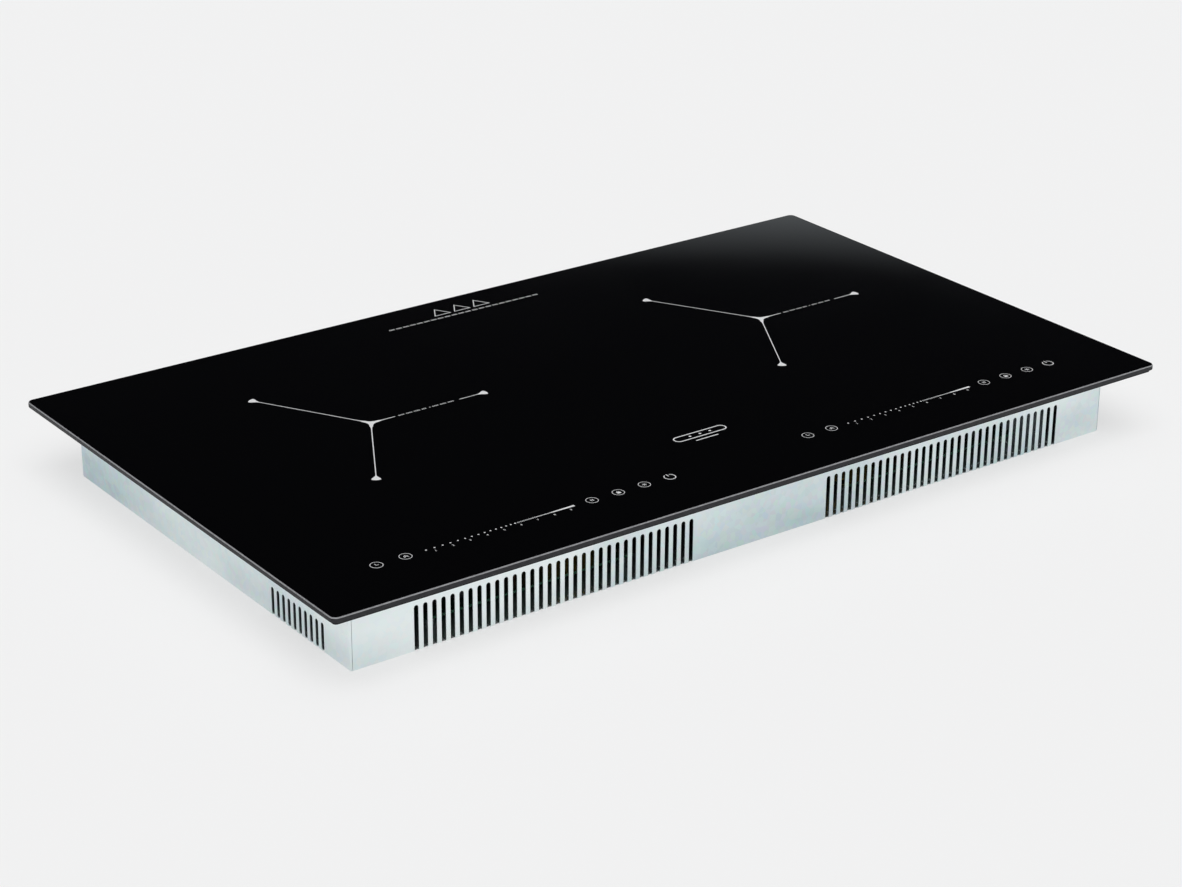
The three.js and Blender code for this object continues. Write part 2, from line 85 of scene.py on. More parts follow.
FLOOR_HALF = 15.0
FLOOR_GLOW = 0.61
COVERED_INSET = 14.0


def floor_finish(name, glow):
    """A matt pale finish that may give off light of its own."""
    material = bpy.data.materials.new(name)
    material.use_nodes = True
    shader = material.node_tree.nodes["Principled BSDF"]
    shader.inputs["Base Color"].default_value = (0.28, 0.28, 0.28, 1)
    shader.inputs["Roughness"].default_value = 0.9
    shader.inputs["Specular IOR Level"].default_value = 0.1
    shader.inputs["Emission Color"].default_value = (1, 1, 1, 1)
    shader.inputs["Emission Strength"].default_value = glow
    return material


def add_floor():
    """A wide, plain, pale floor that glows a little, as a light table does, so that shadows stay soft. The
    patch that the casing covers doesn't glow."""
    covered_x, covered_y = (node_box("casing_tray")[1][:2] - COVERED_INSET) * MM
    across = [-FLOOR_HALF, -covered_x, covered_x, FLOOR_HALF]
    along = [-FLOOR_HALF, -covered_y, covered_y, FLOOR_HALF]
    corners = [4 * row + column for row in range(3) for column in range(3)]
    mesh = bpy.data.meshes.new("floor")
    points = [(x, y, 0) for y in along for x in across]
    mesh.from_pydata(points, [], [(k, k + 1, k + 5, k + 4) for k in corners])
    mesh.materials.append(floor_finish("pale_floor", FLOOR_GLOW))
    mesh.materials.append(floor_finish("covered_floor", 0.0))
    mesh.polygons[len(corners) // 2].material_index = 1
    floor = bpy.data.objects.new("floor", mesh)
    bpy.context.scene.collection.objects.link(floor)


SKY_DARK = (0.008, 0.0084, 0.0095, 1)
SKY_BANDS = [(0.19, (0.80, 0.86, 0.90, 1)), (0.255, SKY_DARK), (0.58, SKY_DARK),
             (0.92, (1.0, 1.01, 1.03, 1))]
SKY_STRENGTH = 0.74
SUN_STRENGTH, SUN_WIDTH = 2.2, 55
SUN_TILT = (24, -18, 0)


def add_light():
    """A dome that is pale at the horizon and overhead and dark between, with one broad soft sun from the
    left."""
    world = bpy.data.worlds.new("studio")
    bpy.context.scene.world = world
    world.use_nodes = True
    nodes, links = world.node_tree.nodes, world.node_tree.links
    background = nodes["Background"]
    place = nodes.new("ShaderNodeTexCoord")
    split = nodes.new("ShaderNodeSeparateXYZ")
    ramp = nodes.new("ShaderNodeValToRGB")
    links.new(place.outputs["Generated"], split.inputs["Vector"])
    links.new(split.outputs["Z"], ramp.inputs["Fac"])
    links.new(ramp.outputs["Color"], background.inputs["Color"])
    bands = ramp.color_ramp.elements
    bands[0].position, bands[0].color = SKY_BANDS[0]
    bands[1].position, bands[1].color = SKY_BANDS[-1]
    for position, colour in SKY_BANDS[1:-1]:
        bands.new(position).color = colour
    background.inputs["Strength"].default_value = SKY_STRENGTH
    sun = bpy.data.lights.new("soft_sun", "SUN")
    sun.energy = SUN_STRENGTH
    sun.angle = math.radians(SUN_WIDTH)
    lamp = bpy.data.objects.new("soft_sun", sun)
    lamp.rotation_euler = Euler([math.radians(turn) for turn in SUN_TILT])
    bpy.context.scene.collection.objects.link(lamp)
    bpy.context.scene.view_settings.view_transform = "Standard"


add_camera()
add_floor()
add_light()


# ---------------------------------------------------------------- materials

NOISE, CELLS, BRICKS = "ShaderNodeTexNoise", "ShaderNodeTexVoronoi", "ShaderNodeTexBrick"


def shade(name, colour, roughness, metallic=0.0, specular=0.5, coat=0.0):
    """A material whose steady values are set straight on the shader."""
    material = bpy.data.materials.new(name)
    material.use_nodes = True
    shader = material.node_tree.nodes["Principled BSDF"]
    shader.inputs["Base Color"].default_value = (*colour, 1)
    shader.inputs["Roughness"].default_value = roughness
    shader.inputs["Metallic"].default_value = metallic
    shader.inputs["Specular IOR Level"].default_value = specular
    shader.inputs["Coat Weight"].default_value = coat
    return material


def pattern(material, kind, scale, stretch=(1, 1, 1), shift=(0, 0, 0)):
    """A texture on the piece's own coordinates, stretched along chosen axes and shifted."""
    nodes, links = material.node_tree.nodes, material.node_tree.links
    place = nodes.new("ShaderNodeTexCoord")
    mapping = nodes.new("ShaderNodeMapping")
    mapping.inputs["Scale"].default_value = stretch
    mapping.inputs["Location"].default_value = shift
    texture = nodes.new(kind)
    texture.inputs["Scale"].default_value = scale
    links.new(place.outputs["Object"], mapping.inputs["Vector"])
    links.new(mapping.outputs["Vector"], texture.inputs["Vector"])
    return texture


def mottle(material, colours, scale, stretch=(1, 1, 1), detail=4.0, limits=(0.3, 0.7), shift=(0, 0, 0)):
    """Lets the base colour wander between two tones with a noise, and returns the ramp that mixes them."""
    nodes, links = material.node_tree.nodes, material.node_tree.links
    noise = pattern(material, NOISE, scale, stretch, shift)
    noise.inputs["Detail"].default_value = detail
    ramp = nodes.new("ShaderNodeValToRGB")
    for element, position, colour in zip(ramp.color_ramp.elements, limits, colours):
        element.position = position
        element.color = (*colour, 1)
    links.new(noise.outputs["Fac"], ramp.inputs["Fac"])
    links.new(ramp.outputs["Color"], nodes["Principled BSDF"].inputs["Base Color"])
    return ramp


def vary_roughness(material, low, high, scale, stretch=(1, 1, 1)):
    """Lets the roughness wander between two values with a noise."""
    nodes, links = material.node_tree.nodes, material.node_tree.links
    noise = pattern(material, NOISE, scale, stretch)
    span = nodes.new("ShaderNodeMapRange")
    span.inputs["To Min"].default_value = low
    span.inputs["To Max"].default_value = high
    links.new(noise.outputs["Fac"], span.inputs["Value"])
    links.new(span.outputs["Result"], nodes["Principled BSDF"].inputs["Roughness"])


def roughen(material, scale, height, stretch=(1, 1, 1), strength=0.5, kind=NOISE):
    """Adds a fine relief of a given height: a noise or cell texture read as height."""
    nodes, links = material.node_tree.nodes, material.node_tree.links
    bump = nodes.new("ShaderNodeBump")
    bump.inputs["Strength"].default_value = strength
    bump.inputs["Distance"].default_value = height
    links.new(pattern(material, kind, scale, stretch).outputs[0], bump.inputs["Height"])
    links.new(bump.outputs["Normal"], nodes["Principled BSDF"].inputs["Normal"])


def tinted(colour, factor):
    """A colour made lighter or darker by a factor, no part of it over one."""
    return tuple(min(1.0, factor * part) for part in colour)


def black_glass():
    """Polished black glass-ceramic, a touch cloudier here and there."""
    material = shade("black_glass", (0.0012, 0.0012, 0.0015), 0.05)
    vary_roughness(material, 0.035, 0.075, 9.0)
    return material


def uneven(name, colour, roughness, tones, scale, specular=0.5, detail=4.0, relief=None):
    """A finish whose tone wanders between two. A relief gives a texture's scale, height and kind."""
    material = shade(name, colour, roughness, specular=specular)
    mottle(material, tones, scale, detail=detail)
    if relief:
        roughen(material, relief[0], relief[1], kind=relief[2])
    return material


def ground_glass(name, dark, light, specular=0.5):
    """Ground, unpolished glass: a fine frosted grain between two greys."""
    material = shade(name, light, 0.5, specular=specular)
    mottle(material, (dark, light), 260.0, stretch=(1, 1, 3))
    roughen(material, 1800.0, 0.00006)
    return material


# The broad cloud's two tones, scale, limits and shift: partly the zinc's own uneven tone, partly a painted
# dark reflection, shifted so that the darker tone falls on the front wall's middle.
ZINC_TONES_AND_PAINTED_REFLECTION = ((0.44, 0.565, 0.6), (0.87, 0.94, 0.94))
ZINC_CLOUD_AND_REFLECTION_SCALE, ZINC_CLOUD_AND_REFLECTION_LIMITS, ZINC_PAINTED_REFLECTION_SHIFT = 3.4, (0.34, 0.62), (0.7, 0.2, 0)
ZINC_CRYSTAL_SCALE, ZINC_CRYSTAL_SHARE = 230.0, 0.16
ROLLED = 3.0


def zinc_sheet():
    """Zinc-coated steel sheet: cool and satin, with broad cloudiness, small crystals and a fine rolled
    grain. The cloudiness is partly the zinc's own uneven tone and partly a painted dark reflection: it is
    shifted so that its darker tone falls on the front wall's middle."""
    material = shade("zinc_steel_sheet", (0.8, 0.88, 0.9), 0.34, metallic=0.9)
    nodes, links = material.node_tree.nodes, material.node_tree.links
    # the zinc's own cloudy tone mixed with a painted dark reflection on the front wall's middle
    cloud_and_reflection = mottle(material, ZINC_TONES_AND_PAINTED_REFLECTION, ZINC_CLOUD_AND_REFLECTION_SCALE, (1, 1, 2.4), 3.0, ZINC_CLOUD_AND_REFLECTION_LIMITS,
                   ZINC_PAINTED_REFLECTION_SHIFT)
    crystals = pattern(material, CELLS, ZINC_CRYSTAL_SCALE)
    tint = nodes.new("ShaderNodeMix")
    tint.data_type = "RGBA"
    tint.blend_type = "SOFT_LIGHT"
    tint.inputs["Factor"].default_value = ZINC_CRYSTAL_SHARE
    links.new(cloud_and_reflection.outputs["Color"], tint.inputs["A"])
    links.new(crystals.outputs["Color"], tint.inputs["B"])
    links.new(tint.outputs["Result"], nodes["Principled BSDF"].inputs["Base Color"])
    vary_roughness(material, 0.24, 0.4, 38.0, stretch=(0.35, 0.35, ROLLED))
    roughen(material, 900.0, 0.00004, stretch=(0.12, 0.12, ROLLED), strength=0.25)
    return material


def moulded(name, colour, roughness=0.5, grain=0.00005):
    """A moulded plastic with a fine spark-eroded grain and slightly uneven tone."""
    material = shade(name, colour, roughness)
    mottle(material, (tinted(colour, 0.86), tinted(colour, 1.1)), 45.0)
    roughen(material, 1500.0, grain)
    return material


def metal(name, colour, roughness, streak=(1, 1, 1)):
    """A bare metal with a drawn or rolled grain along one axis."""
    material = shade(name, colour, roughness, metallic=1.0)
    mottle(material, (tinted(colour, 0.88), tinted(colour, 1.06)), 60.0, streak)
    vary_roughness(material, 0.8 * roughness, 1.25 * roughness, 80.0, streak)
    roughen(material, 1200.0, 0.00003, streak, strength=0.3)
    return material


MASK_TONES = {"Color1": (0.006, 0.055, 0.028, 1), "Color2": (0.009, 0.07, 0.036, 1),
              "Mortar": (0.02, 0.14, 0.07, 1)}
TRACKS = {"Mortar Size": 0.045, "Brick Width": 1.7, "Row Height": 0.42}


def laminate():
    """Green solder mask over copper tracks: a running bond of long bricks whose joints are the tracks."""
    material = shade("circuit_laminate", (0.01, 0.11, 0.045), 0.32, coat=0.3)
    tracks = pattern(material, BRICKS, 95.0)
    for socket, value in {**MASK_TONES, **TRACKS}.items():
        tracks.inputs[socket].default_value = value
    tracks.offset = 0.37
    tracks.squash = 0.45
    tracks.squash_frequency = 3
    nodes, links = material.node_tree.nodes, material.node_tree.links
    links.new(tracks.outputs["Color"], nodes["Principled BSDF"].inputs["Base Color"])
    return material


BLACK_GLASS = black_glass()
GROUND_EDGE = ground_glass("ground_glass_side", (0.015, 0.015, 0.017), (0.03, 0.03, 0.033), 0.22)
# The arris's ground glass is painted about ten times lighter than the side's: a painted highlight standing
# for the sky that the upward-facing bevel reflects.
PAINTED_HIGHLIGHT_ARRIS = ground_glass("ground_glass_arris_painted_highlight", (0.2, 0.2, 0.21), (0.3, 0.3, 0.31))
ZINC_SHEET = zinc_sheet()
FOAM = uneven("seal_foam", (0.022, 0.023, 0.025), 0.95, ((0.014, 0.015, 0.016), (0.034, 0.035, 0.038)), 900.0,
              specular=0.2, relief=(1400.0, 0.0002, CELLS))
SILICONE = uneven("silicone_bead", (0.05, 0.05, 0.052), 0.45, ((0.04, 0.04, 0.042), (0.065, 0.065, 0.067)),
                  60.0)
INK = uneven("printed_ink", (0.72, 0.72, 0.72), 0.5, ((0.64, 0.64, 0.65), (0.8, 0.8, 0.8)), 700.0,
             specular=0.3)
BLACK_PLASTIC = moulded("black_plastic", (0.022, 0.022, 0.024))
HEAT_PLASTIC = moulded("heat_proof_plastic", (0.62, 0.57, 0.45), 0.55)
WHITE_PLASTIC = moulded("white_plastic", (0.72, 0.72, 0.68), 0.45)
YELLOW_PLASTIC = moulded("capacitor_case", (0.62, 0.38, 0.03), 0.35, grain=0.00002)
BLACK_EPOXY = moulded("black_epoxy", (0.016, 0.016, 0.017), 0.6)
ALUMINIUM = metal("aluminium", (0.8, 0.81, 0.82), 0.34, (0.1, 1, 1))
SPRING_STEEL = metal("spring_steel", (0.62, 0.63, 0.65), 0.25)
COPPER = metal("lacquered_copper", (0.8, 0.36, 0.16), 0.3)
TIN = metal("tinned_copper", (0.72, 0.73, 0.74), 0.35)
LAMINATE = laminate()
MICA = uneven("mica", (0.6, 0.5, 0.33), 0.4, ((0.42, 0.33, 0.2), (0.74, 0.65, 0.47)), 120.0, detail=8.0,
              relief=(260.0, 0.0001, CELLS))
FERRITE = uneven("ferrite", (0.035, 0.033, 0.032), 0.75, ((0.024, 0.023, 0.022), (0.055, 0.052, 0.05)), 500.0,
                 specular=0.3, relief=(1500.0, 0.0001, NOISE))


# ---------------------------------------------------------------- making meshes

def grid_faces(rows, columns, wrap_rows=False, wrap_columns=False):
    """The four-cornered faces of a grid of points stored row by row; either way may close on itself."""
    last_row = rows if wrap_rows else rows - 1
    last_column = columns if wrap_columns else columns - 1
    row, column = (index.ravel() for index in np.mgrid[:last_row, :last_column])
    above, beside = (row + 1) % rows, (column + 1) % columns
    corners = [(row, column), (row, beside), (above, beside), (above, column)]
    return np.stack([i * columns + j for i, j in corners], axis=1)


def joined(parts):
    """Several (points, faces) pairs as one pair."""
    points, faces, start = [], [], 0
    for part_points, part_faces in parts:
        points.append(np.asarray(part_points, float).reshape(-1, 3))
        faces.extend((np.asarray(face) + start).tolist() for face in part_faces)
        start += len(points[-1])
    return np.concatenate(points), faces


SHARP_ANGLE = 35.0


def sharpen(mesh, angle):
    """Shades a mesh smooth except across edges sharper than the angle, in degrees."""
    mesh.shade_smooth()
    mesh.set_sharp_from_angle(angle=math.radians(angle))
    mesh.update()


def piece(name, part, materials, slot, body=BODY, replaces=(), weld=None, smooth=SHARP_ANGLE, pick=None,
          closed=False):
    """Puts (points, faces) in millimetres into a mesh, gives it its finish, and makes it ride on a body.

    A weld merges points nearer than that and drops points that no face uses. A closed piece has its faces
    turned outwards. A pick chooses each face's material."""
    points, faces = part
    mesh = bpy.data.meshes.new(name)
    places = (np.asarray(points, float).reshape(-1, 3) * MM).tolist()
    mesh.from_pydata(places, [], [list(face) for face in faces])
    for material in materials:
        mesh.materials.append(material)
    if pick is not None:
        mesh.polygons.foreach_set("material_index", np.asarray(pick, np.int32))
    if closed or weld is not None:
        shell = bmesh.new()
        shell.from_mesh(mesh)
        if weld is not None:
            bmesh.ops.remove_doubles(shell, verts=shell.verts, dist=weld * MM)
            unused = [point for point in shell.verts if not point.link_faces]
            bmesh.ops.delete(shell, geom=unused, context="VERTS")
        if closed:
            bmesh.ops.recalc_face_normals(shell, faces=shell.faces)
        shell.to_mesh(mesh)
        shell.free()
    sharpen(mesh, smooth)
    made = bpy.data.objects.new(name, mesh)
    bpy.context.scene.collection.objects.link(made)
    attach(made, body)
    if replaces:
        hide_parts(*replaces)
    return made


def thicken(made, thickness):
    """Gives an open sheet its thickness, inwards from its outer face, and shades the new edges sharp."""
    sheet = made.modifiers.new("sheet_thickness", "SOLIDIFY")
    sheet.thickness = thickness * MM
    sheet.offset = -1.0
    sheet.use_even_offset = True
    solid = bpy.data.meshes.new_from_object(made.evaluated_get(bpy.context.evaluated_depsgraph_get()))
    made.modifiers.clear()
    made.data = solid
    sharpen(solid, SHARP_ANGLE)


# ---------------------------------------------------------------- outlines that run round the plate

def rounded_outline(width, depth, corner, steps=10):
    """Points round a rectangle with round corners, anticlockwise: four quarter circles joined by straight
    sides."""
    turns = np.linspace(0, np.pi / 2, steps)
    corners = []
    for quarter, (sx, sy) in enumerate([(1, 1), (-1, 1), (-1, -1), (1, -1)]):
        angle = turns + quarter * np.pi / 2
        middle = np.array([sx * (width / 2 - corner), sy * (depth / 2 - corner)])
        corners.append(middle + corner * np.stack([np.cos(angle), np.sin(angle)], axis=1))
    return np.concatenate(corners)


def ring_stack(width, depth, corner, profile, closed=False, steps=10):
    """A profile of (inset, level) pairs carried round a rounded rectangle, one ring of points for each
    pair.

    The inset shrinks the rectangle and its corner radius together. A closed profile makes a frame with a
    hole; an open one is shut by a flat face at both ends."""
    rings = []
    for inset, level in profile:
        outline = rounded_outline(width - 2 * inset, depth - 2 * inset, max(corner - inset, 0.4), steps)
        rings.append(np.column_stack([outline, np.full(len(outline), level)]))
    count = len(rings[0])
    faces = grid_faces(len(rings), count, wrap_rows=closed, wrap_columns=True).tolist()
    if not closed:
        faces.append(list(range(count))[::-1])
        faces.append(list(range((len(rings) - 1) * count, len(rings) * count)))
    return np.concatenate(rings), faces


GLASS_CORNER = 5.0
ARRIS_IN, ARRIS_DOWN = 0.6, 0.9
LOWER_ARRIS = 0.3
LIP = 0.06


def glass_plate():
    """The glass: a ground side between a broad ground arris above and a small one below, its edges just
    rounded."""
    low, high = node_box("glass_top")
    width, depth = (high - low)[:2]
    bottom, top = low[2], high[2]
    profile = [
        (LOWER_ARRIS, bottom), (LOWER_ARRIS / 3, bottom + LOWER_ARRIS / 3), (0.0, bottom + LOWER_ARRIS),
        (0.0, top - ARRIS_DOWN - LIP), (0.5 * LIP, top - ARRIS_DOWN + 0.5 * LIP),
        (ARRIS_IN - LIP, top - 1.2 * LIP), (ARRIS_IN + LIP, top - 0.2 * LIP), (ARRIS_IN + 3 * LIP, top),
    ]
    points, faces = ring_stack(width, depth, GLASS_CORNER, profile, steps=12)
    count = len(points) // len(profile)
    side_rows = 4
    pick = np.zeros(len(faces), int)
    pick[: side_rows * count] = 1
    # the upper arris takes the lighter ground glass, a painted highlight
    pick[side_rows * count: (side_rows + 1) * count] = 2
    piece("glass_plate", (points, faces), [BLACK_GLASS, GROUND_EDGE, PAINTED_HIGHLIGHT_ARRIS], "black_glass",
          replaces=["glass_top"], pick=pick, smooth=20.0)


def round_section(low, high, width_of_band, radius, steps=3):
    """The closed (inset, level) section of a flat band, a quarter circle at each of its four corners."""
    turns = np.linspace(0, np.pi / 2, steps)
    far = width_of_band - radius
    centres = [(radius, low + radius, np.pi), (far, low + radius, 1.5 * np.pi)]
    centres += [(far, high - radius, 0.0), (radius, high - radius, np.pi / 2)]
    return [(inset + radius * math.cos(start + turn), level + radius * math.sin(start + turn))
            for inset, level, start in centres for turn in turns]


def band(name, node, width_of_band, corner, radius, material, slot):
    """A flat frame of foam or silicone whose four long edges are rounded, in the place of its CAD frame."""
    low, high = node_box(node)
    width, depth = (high - low)[:2]
    section = round_section(low[2], high[2], width_of_band, radius)
    piece(name, ring_stack(width, depth, corner, section, closed=True), [material], slot,
          replaces=[node], smooth=60.0, closed=True)


SEAL_BAND, SEAL_CORNER, SEAL_EDGE = 11.0, 2.8, 0.7
BEAD_BAND, BEAD_CORNER, BEAD_EDGE = 8.0, 3.0, 0.18
glass_plate()
band("foam_seal", "rim_seal", SEAL_BAND, SEAL_CORNER, SEAL_EDGE, FOAM, "seal_foam")
band("silicone_bead", "glass_bond_bead", BEAD_BAND, BEAD_CORNER, BEAD_EDGE, SILICONE, "silicone")


# ---------------------------------------------------------------- the folded and slotted casing

SHEET = 0.8
FOLD = 1.2
FLANGE = 12.0
FLANGE_FOLD = 1.0
STRIP = 10.0
SEAM_END = 1.5
SLOT_HALF = 1.75
SLOT_PITCH = 7.05
SLOT_WRAP = 8.0
FRONT_SLOTS = {"count": 33, "nearest": 62.1, "shift": 1.0, "top": 33.5}
SIDE_SLOTS = {"count": 10, "first": -153.4, "top": 21.5}
FAN_Y = 62.0
FAN_X = 181.3
INTAKE = {"half": 48.0, "radius": 42.0, "pitch": 7.0, "half_slot": 1.5}

CASE_HIGH = node_box("casing_tray")[1]
CASE_X = CASE_HIGH[0] - FLANGE
CASE_Y = CASE_HIGH[1] - FLANGE
FLANGE_UNDER = CASE_HIGH[2] - SHEET


def slot_columns(centres, half, extra):
    """Where a pierced sheet's columns stand: five across each slot, spaced as a half circle's turns, and
    the extra ones."""
    across = half * np.cos(np.linspace(np.pi, 0, 5))
    inside = (np.asarray(centres)[:, None] + across).ravel()
    inside = inside[np.abs(inside) < np.max(extra)]
    return np.unique(np.round(np.concatenate([inside, extra]), 3))


def slot_dip(columns, centres, half):
    """How far a slot's round end has fallen back at each column: half less the root of half squared less
    the square of the offset from the slot's middle. Columns outside every slot have the whole half."""
    offset = np.abs(columns[:, None] - np.asarray(centres)).min(axis=1).clip(0, half)
    return half - np.sqrt(half**2 - offset**2)


def inside_slots(columns, centres, half):
    """Which of the cells between neighbouring columns lie in a slot."""
    middle = (columns[1:] + columns[:-1]) / 2
    return np.abs(middle[:, None] - np.asarray(centres)).min(axis=1) < half


def kept_cells(points, keep):
    """A grid of points with only the cells that are wanted."""
    rows, columns = points.shape[:2]
    return points.reshape(-1, 3), grid_faces(rows, columns)[keep.ravel()]


def wall(turn, reach, end, centres, slot_top, extra, wraps_corners):
    """One wall with its strip of the base and its strip of the glued flange, as one bent grid.

    A column stands along the wall; a row follows the sheet's section: flat base, a quarter circle up, the
    upright wall, a quarter circle outwards, the flat flange. Two rows follow the slots' round ends, and the
    cells between them are left out in the slots. Where the wall wraps its corners, three columns at each
    end turn a quarter circle about the fold's upright line."""
    along = np.array([math.cos(turn), math.sin(turn)])
    out = np.array([math.sin(turn), -math.cos(turn)])
    columns = slot_columns(centres, SLOT_HALF, extra)
    swing = np.zeros(len(columns))
    if wraps_corners:
        quarter = np.radians([30.0, 60.0, 90.0])
        columns = np.concatenate([np.full(3, -end), columns, np.full(3, end)])
        swing = np.concatenate([-quarter[::-1], swing, quarter])
    dip = slot_dip(columns, centres, SLOT_HALF)
    wall_top = FLANGE_UNDER - FLANGE_FOLD
    bend = np.linspace(0, np.pi / 2, 6)
    rows = [(reach - FOLD - STRIP, 0, 0), (reach - SLOT_WRAP + dip, 0, 0)]
    for step in bend:
        rows.append((reach - FOLD + FOLD * math.sin(step), FOLD * (1 - math.cos(step)), 0))
    rows += [(reach, slot_top - dip, 0), (reach, wall_top, 0)]
    for step in bend[2::3]:
        reached = reach + FLANGE_FOLD * (1 - math.cos(step))
        rows.append((reached, wall_top + FLANGE_FOLD * math.sin(step), 0.5 * FLANGE_FOLD))
    rows.append((reach + FLANGE, FLANGE_UNDER, FLANGE - FLANGE_FOLD))
    facing = np.cos(swing)[:, None] * out + np.sin(swing)[:, None] * along
    points = []
    for reached, level, spread in rows:
        place = columns * (1 + spread / end)
        radial = np.broadcast_to(reached - reach + FOLD, len(columns))[:, None]
        flat_place = place[:, None] * along + (reach - FOLD) * out + radial * facing
        points.append(np.column_stack([flat_place, np.broadcast_to(level, len(columns))]))
    points = np.stack(points)
    keep = np.ones((len(rows) - 1, len(columns) - 1), bool)
    # the rows where the base ends, the lower fold ends, the slots end and the upright wall ends
    base, fold_end, slot_end, upright = 2, len(bend) + 1, len(bend) + 2, len(bend) + 3
    middle = (columns[1:] + columns[:-1]) / 2
    keep[1:slot_end, inside_slots(columns, centres, SLOT_HALF)] = False
    if wraps_corners:
        turning = (swing[1:] != 0) | (swing[:-1] != 0)
        keep[:fold_end, turning] = False
        keep[upright:, turning] = False
        keep[:base, np.abs(middle) > end - STRIP] = False
    else:
        keep[base:, np.abs(middle) > end] = False
    return kept_cells(points, keep)


def slot_row(first, count):
    """The middles of a row of slots."""
    return first + SLOT_PITCH * np.arange(count)


def intake(x):
    """A fan's air intake in the base: parallel slots with round ends whose lengths follow a circle."""
    count = int(2 * INTAKE["radius"] // INTAKE["pitch"])
    half, radius = INTAKE["half_slot"], INTAKE["radius"]
    centres = (np.arange(count) - (count - 1) / 2) * INTAKE["pitch"]
    columns = slot_columns(centres, half, [-INTAKE["half"], INTAKE["half"]])
    nearest = centres[np.abs(columns[:, None] - centres).argmin(axis=1)]
    reach = np.sqrt(radius**2 - nearest**2) - slot_dip(columns, centres, half)
    edge = np.full(len(columns), INTAKE["half"])
    rows = np.stack([-edge, -reach, reach, edge])
    points = np.stack([np.broadcast_to(x + columns, rows.shape), FAN_Y + rows, np.zeros(rows.shape)], axis=-1)
    keep = np.ones((3, len(columns) - 1), bool)
    keep[1, inside_slots(columns, centres, half)] = False
    flat, faces = kept_cells(points, keep)
    return (flat, faces[:, ::-1]), points


def flat_block(*edges):
    """One flat face of the base, whose boundary is given as runs of points, anticlockwise from above."""
    boundary = np.concatenate([np.asarray(edge, float).reshape(-1, 2) for edge in edges])
    return np.column_stack([boundary, np.zeros(len(boundary))]), [list(range(len(boundary)))[::-1]]


def casing():
    """The tray, bent from one sheet: four walls, the base with two intakes, then the sheet's thickness
    inwards."""
    one_half = slot_row(FRONT_SLOTS["nearest"], FRONT_SLOTS["count"])
    front_slots = np.concatenate([-one_half[::-1], one_half]) + FRONT_SLOTS["shift"]
    side_slots = slot_row(SIDE_SLOTS["first"], SIDE_SLOTS["count"])
    no_slots = np.array([4 * CASE_X])    # so far off that no column meets it
    inner_x, inner_y = CASE_X - FOLD, CASE_Y - FOLD
    strip_x, strip_y = inner_x - STRIP, inner_y - STRIP
    slot_end_x = CASE_X - SLOT_WRAP + SLOT_HALF
    slot_end_y = CASE_Y - SLOT_WRAP + SLOT_HALF
    wall_end = CASE_X - SEAM_END
    long_extra = np.array([wall_end, inner_x, slot_end_x, strip_x])
    long_extra = np.concatenate([-long_extra, long_extra])
    block_low, block_high = FAN_Y - INTAKE["half"], FAN_Y + INTAKE["half"]
    short_extra = np.array([inner_y, slot_end_y, strip_y])
    short_extra = np.concatenate([-short_extra, short_extra, [block_low, block_high]])
    walls = [
        wall(0, CASE_Y, wall_end, front_slots, FRONT_SLOTS["top"], long_extra, False),
        wall(np.pi, CASE_Y, wall_end, no_slots, FRONT_SLOTS["top"], long_extra, False),
        wall(np.pi / 2, CASE_X, inner_y, side_slots, SIDE_SLOTS["top"], short_extra, True),
        wall(-np.pi / 2, CASE_X, inner_y, -side_slots[::-1], SIDE_SLOTS["top"], -short_extra, True),
    ]
    front_x = slot_columns(front_slots, SLOT_HALF, long_extra)
    front_x = front_x[np.abs(front_x) <= strip_x]
    side_y = slot_columns(side_slots, SLOT_HALF, short_extra)
    left, left_grid = intake(-FAN_X)
    right, right_grid = intake(FAN_X)
    front_edge = np.column_stack([front_x, np.full(len(front_x), -strip_y)])
    ahead = side_y[(side_y > -strip_y) & (side_y <= block_low)]
    right_edge = np.column_stack([np.full(len(ahead), strip_x), ahead])
    low_edges = np.concatenate([left_grid[0, :, :2], right_grid[0, :, :2]])
    high_edges = np.concatenate([left_grid[-1, :, :2], right_grid[-1, :, :2]])
    blocks = [
        flat_block(front_edge, right_edge, low_edges[::-1], (right_edge * (-1, 1))[::-1]),
        flat_block([(-strip_x, block_high)], high_edges, [(strip_x, block_high), (strip_x, strip_y)],
                   [(-strip_x, strip_y)]),
        flat_block([(-strip_x, block_low)], left_grid[:, 0, :2], [(-strip_x, block_high)]),
        flat_block(right_grid[:, 0, :2], left_grid[::-1, -1, :2]),
        flat_block([(strip_x, block_high)], right_grid[::-1, -1, :2], [(strip_x, block_low)]),
    ]
    shell = piece("casing_shell", joined([*walls, left, right, *blocks]), [ZINC_SHEET], "zinc_steel",
                  replaces=["casing_tray"], weld=0.01)
    thicken(shell, SHEET)


casing()


# ---------------------------------------------------------------- marks printed on the glass

GLASS_TOP = node_box("glass_top")[1][2]
INK_LOW, INK_HIGH = GLASS_TOP - 0.01, GLASS_TOP + 0.025
LINE = 0.4
FINE_LINE = 0.3


def sideways(path, half, closed):
    """A line's right and left edges: each point moved square to the mean direction of its two legs, and
    further where the path turns, so that the line keeps its width round a corner."""
    path = np.asarray(path, float)
    before, after = np.roll(path, 1, axis=0), np.roll(path, -1, axis=0)
    if not closed:
        before[0], after[-1] = 2 * path[0] - path[1], 2 * path[-1] - path[-2]
    leg_in, leg_out = path - before, after - path
    leg_in /= np.linalg.norm(leg_in, axis=1, keepdims=True)
    leg_out /= np.linalg.norm(leg_out, axis=1, keepdims=True)
    mean = leg_in + leg_out
    mean /= np.linalg.norm(mean, axis=1, keepdims=True)
    across = np.column_stack([mean[:, 1], -mean[:, 0]])
    width = (np.broadcast_to(half, len(path)) / np.sum(mean * leg_in, axis=1).clip(0.35))[:, None]
    return path + across * width, path - across * width


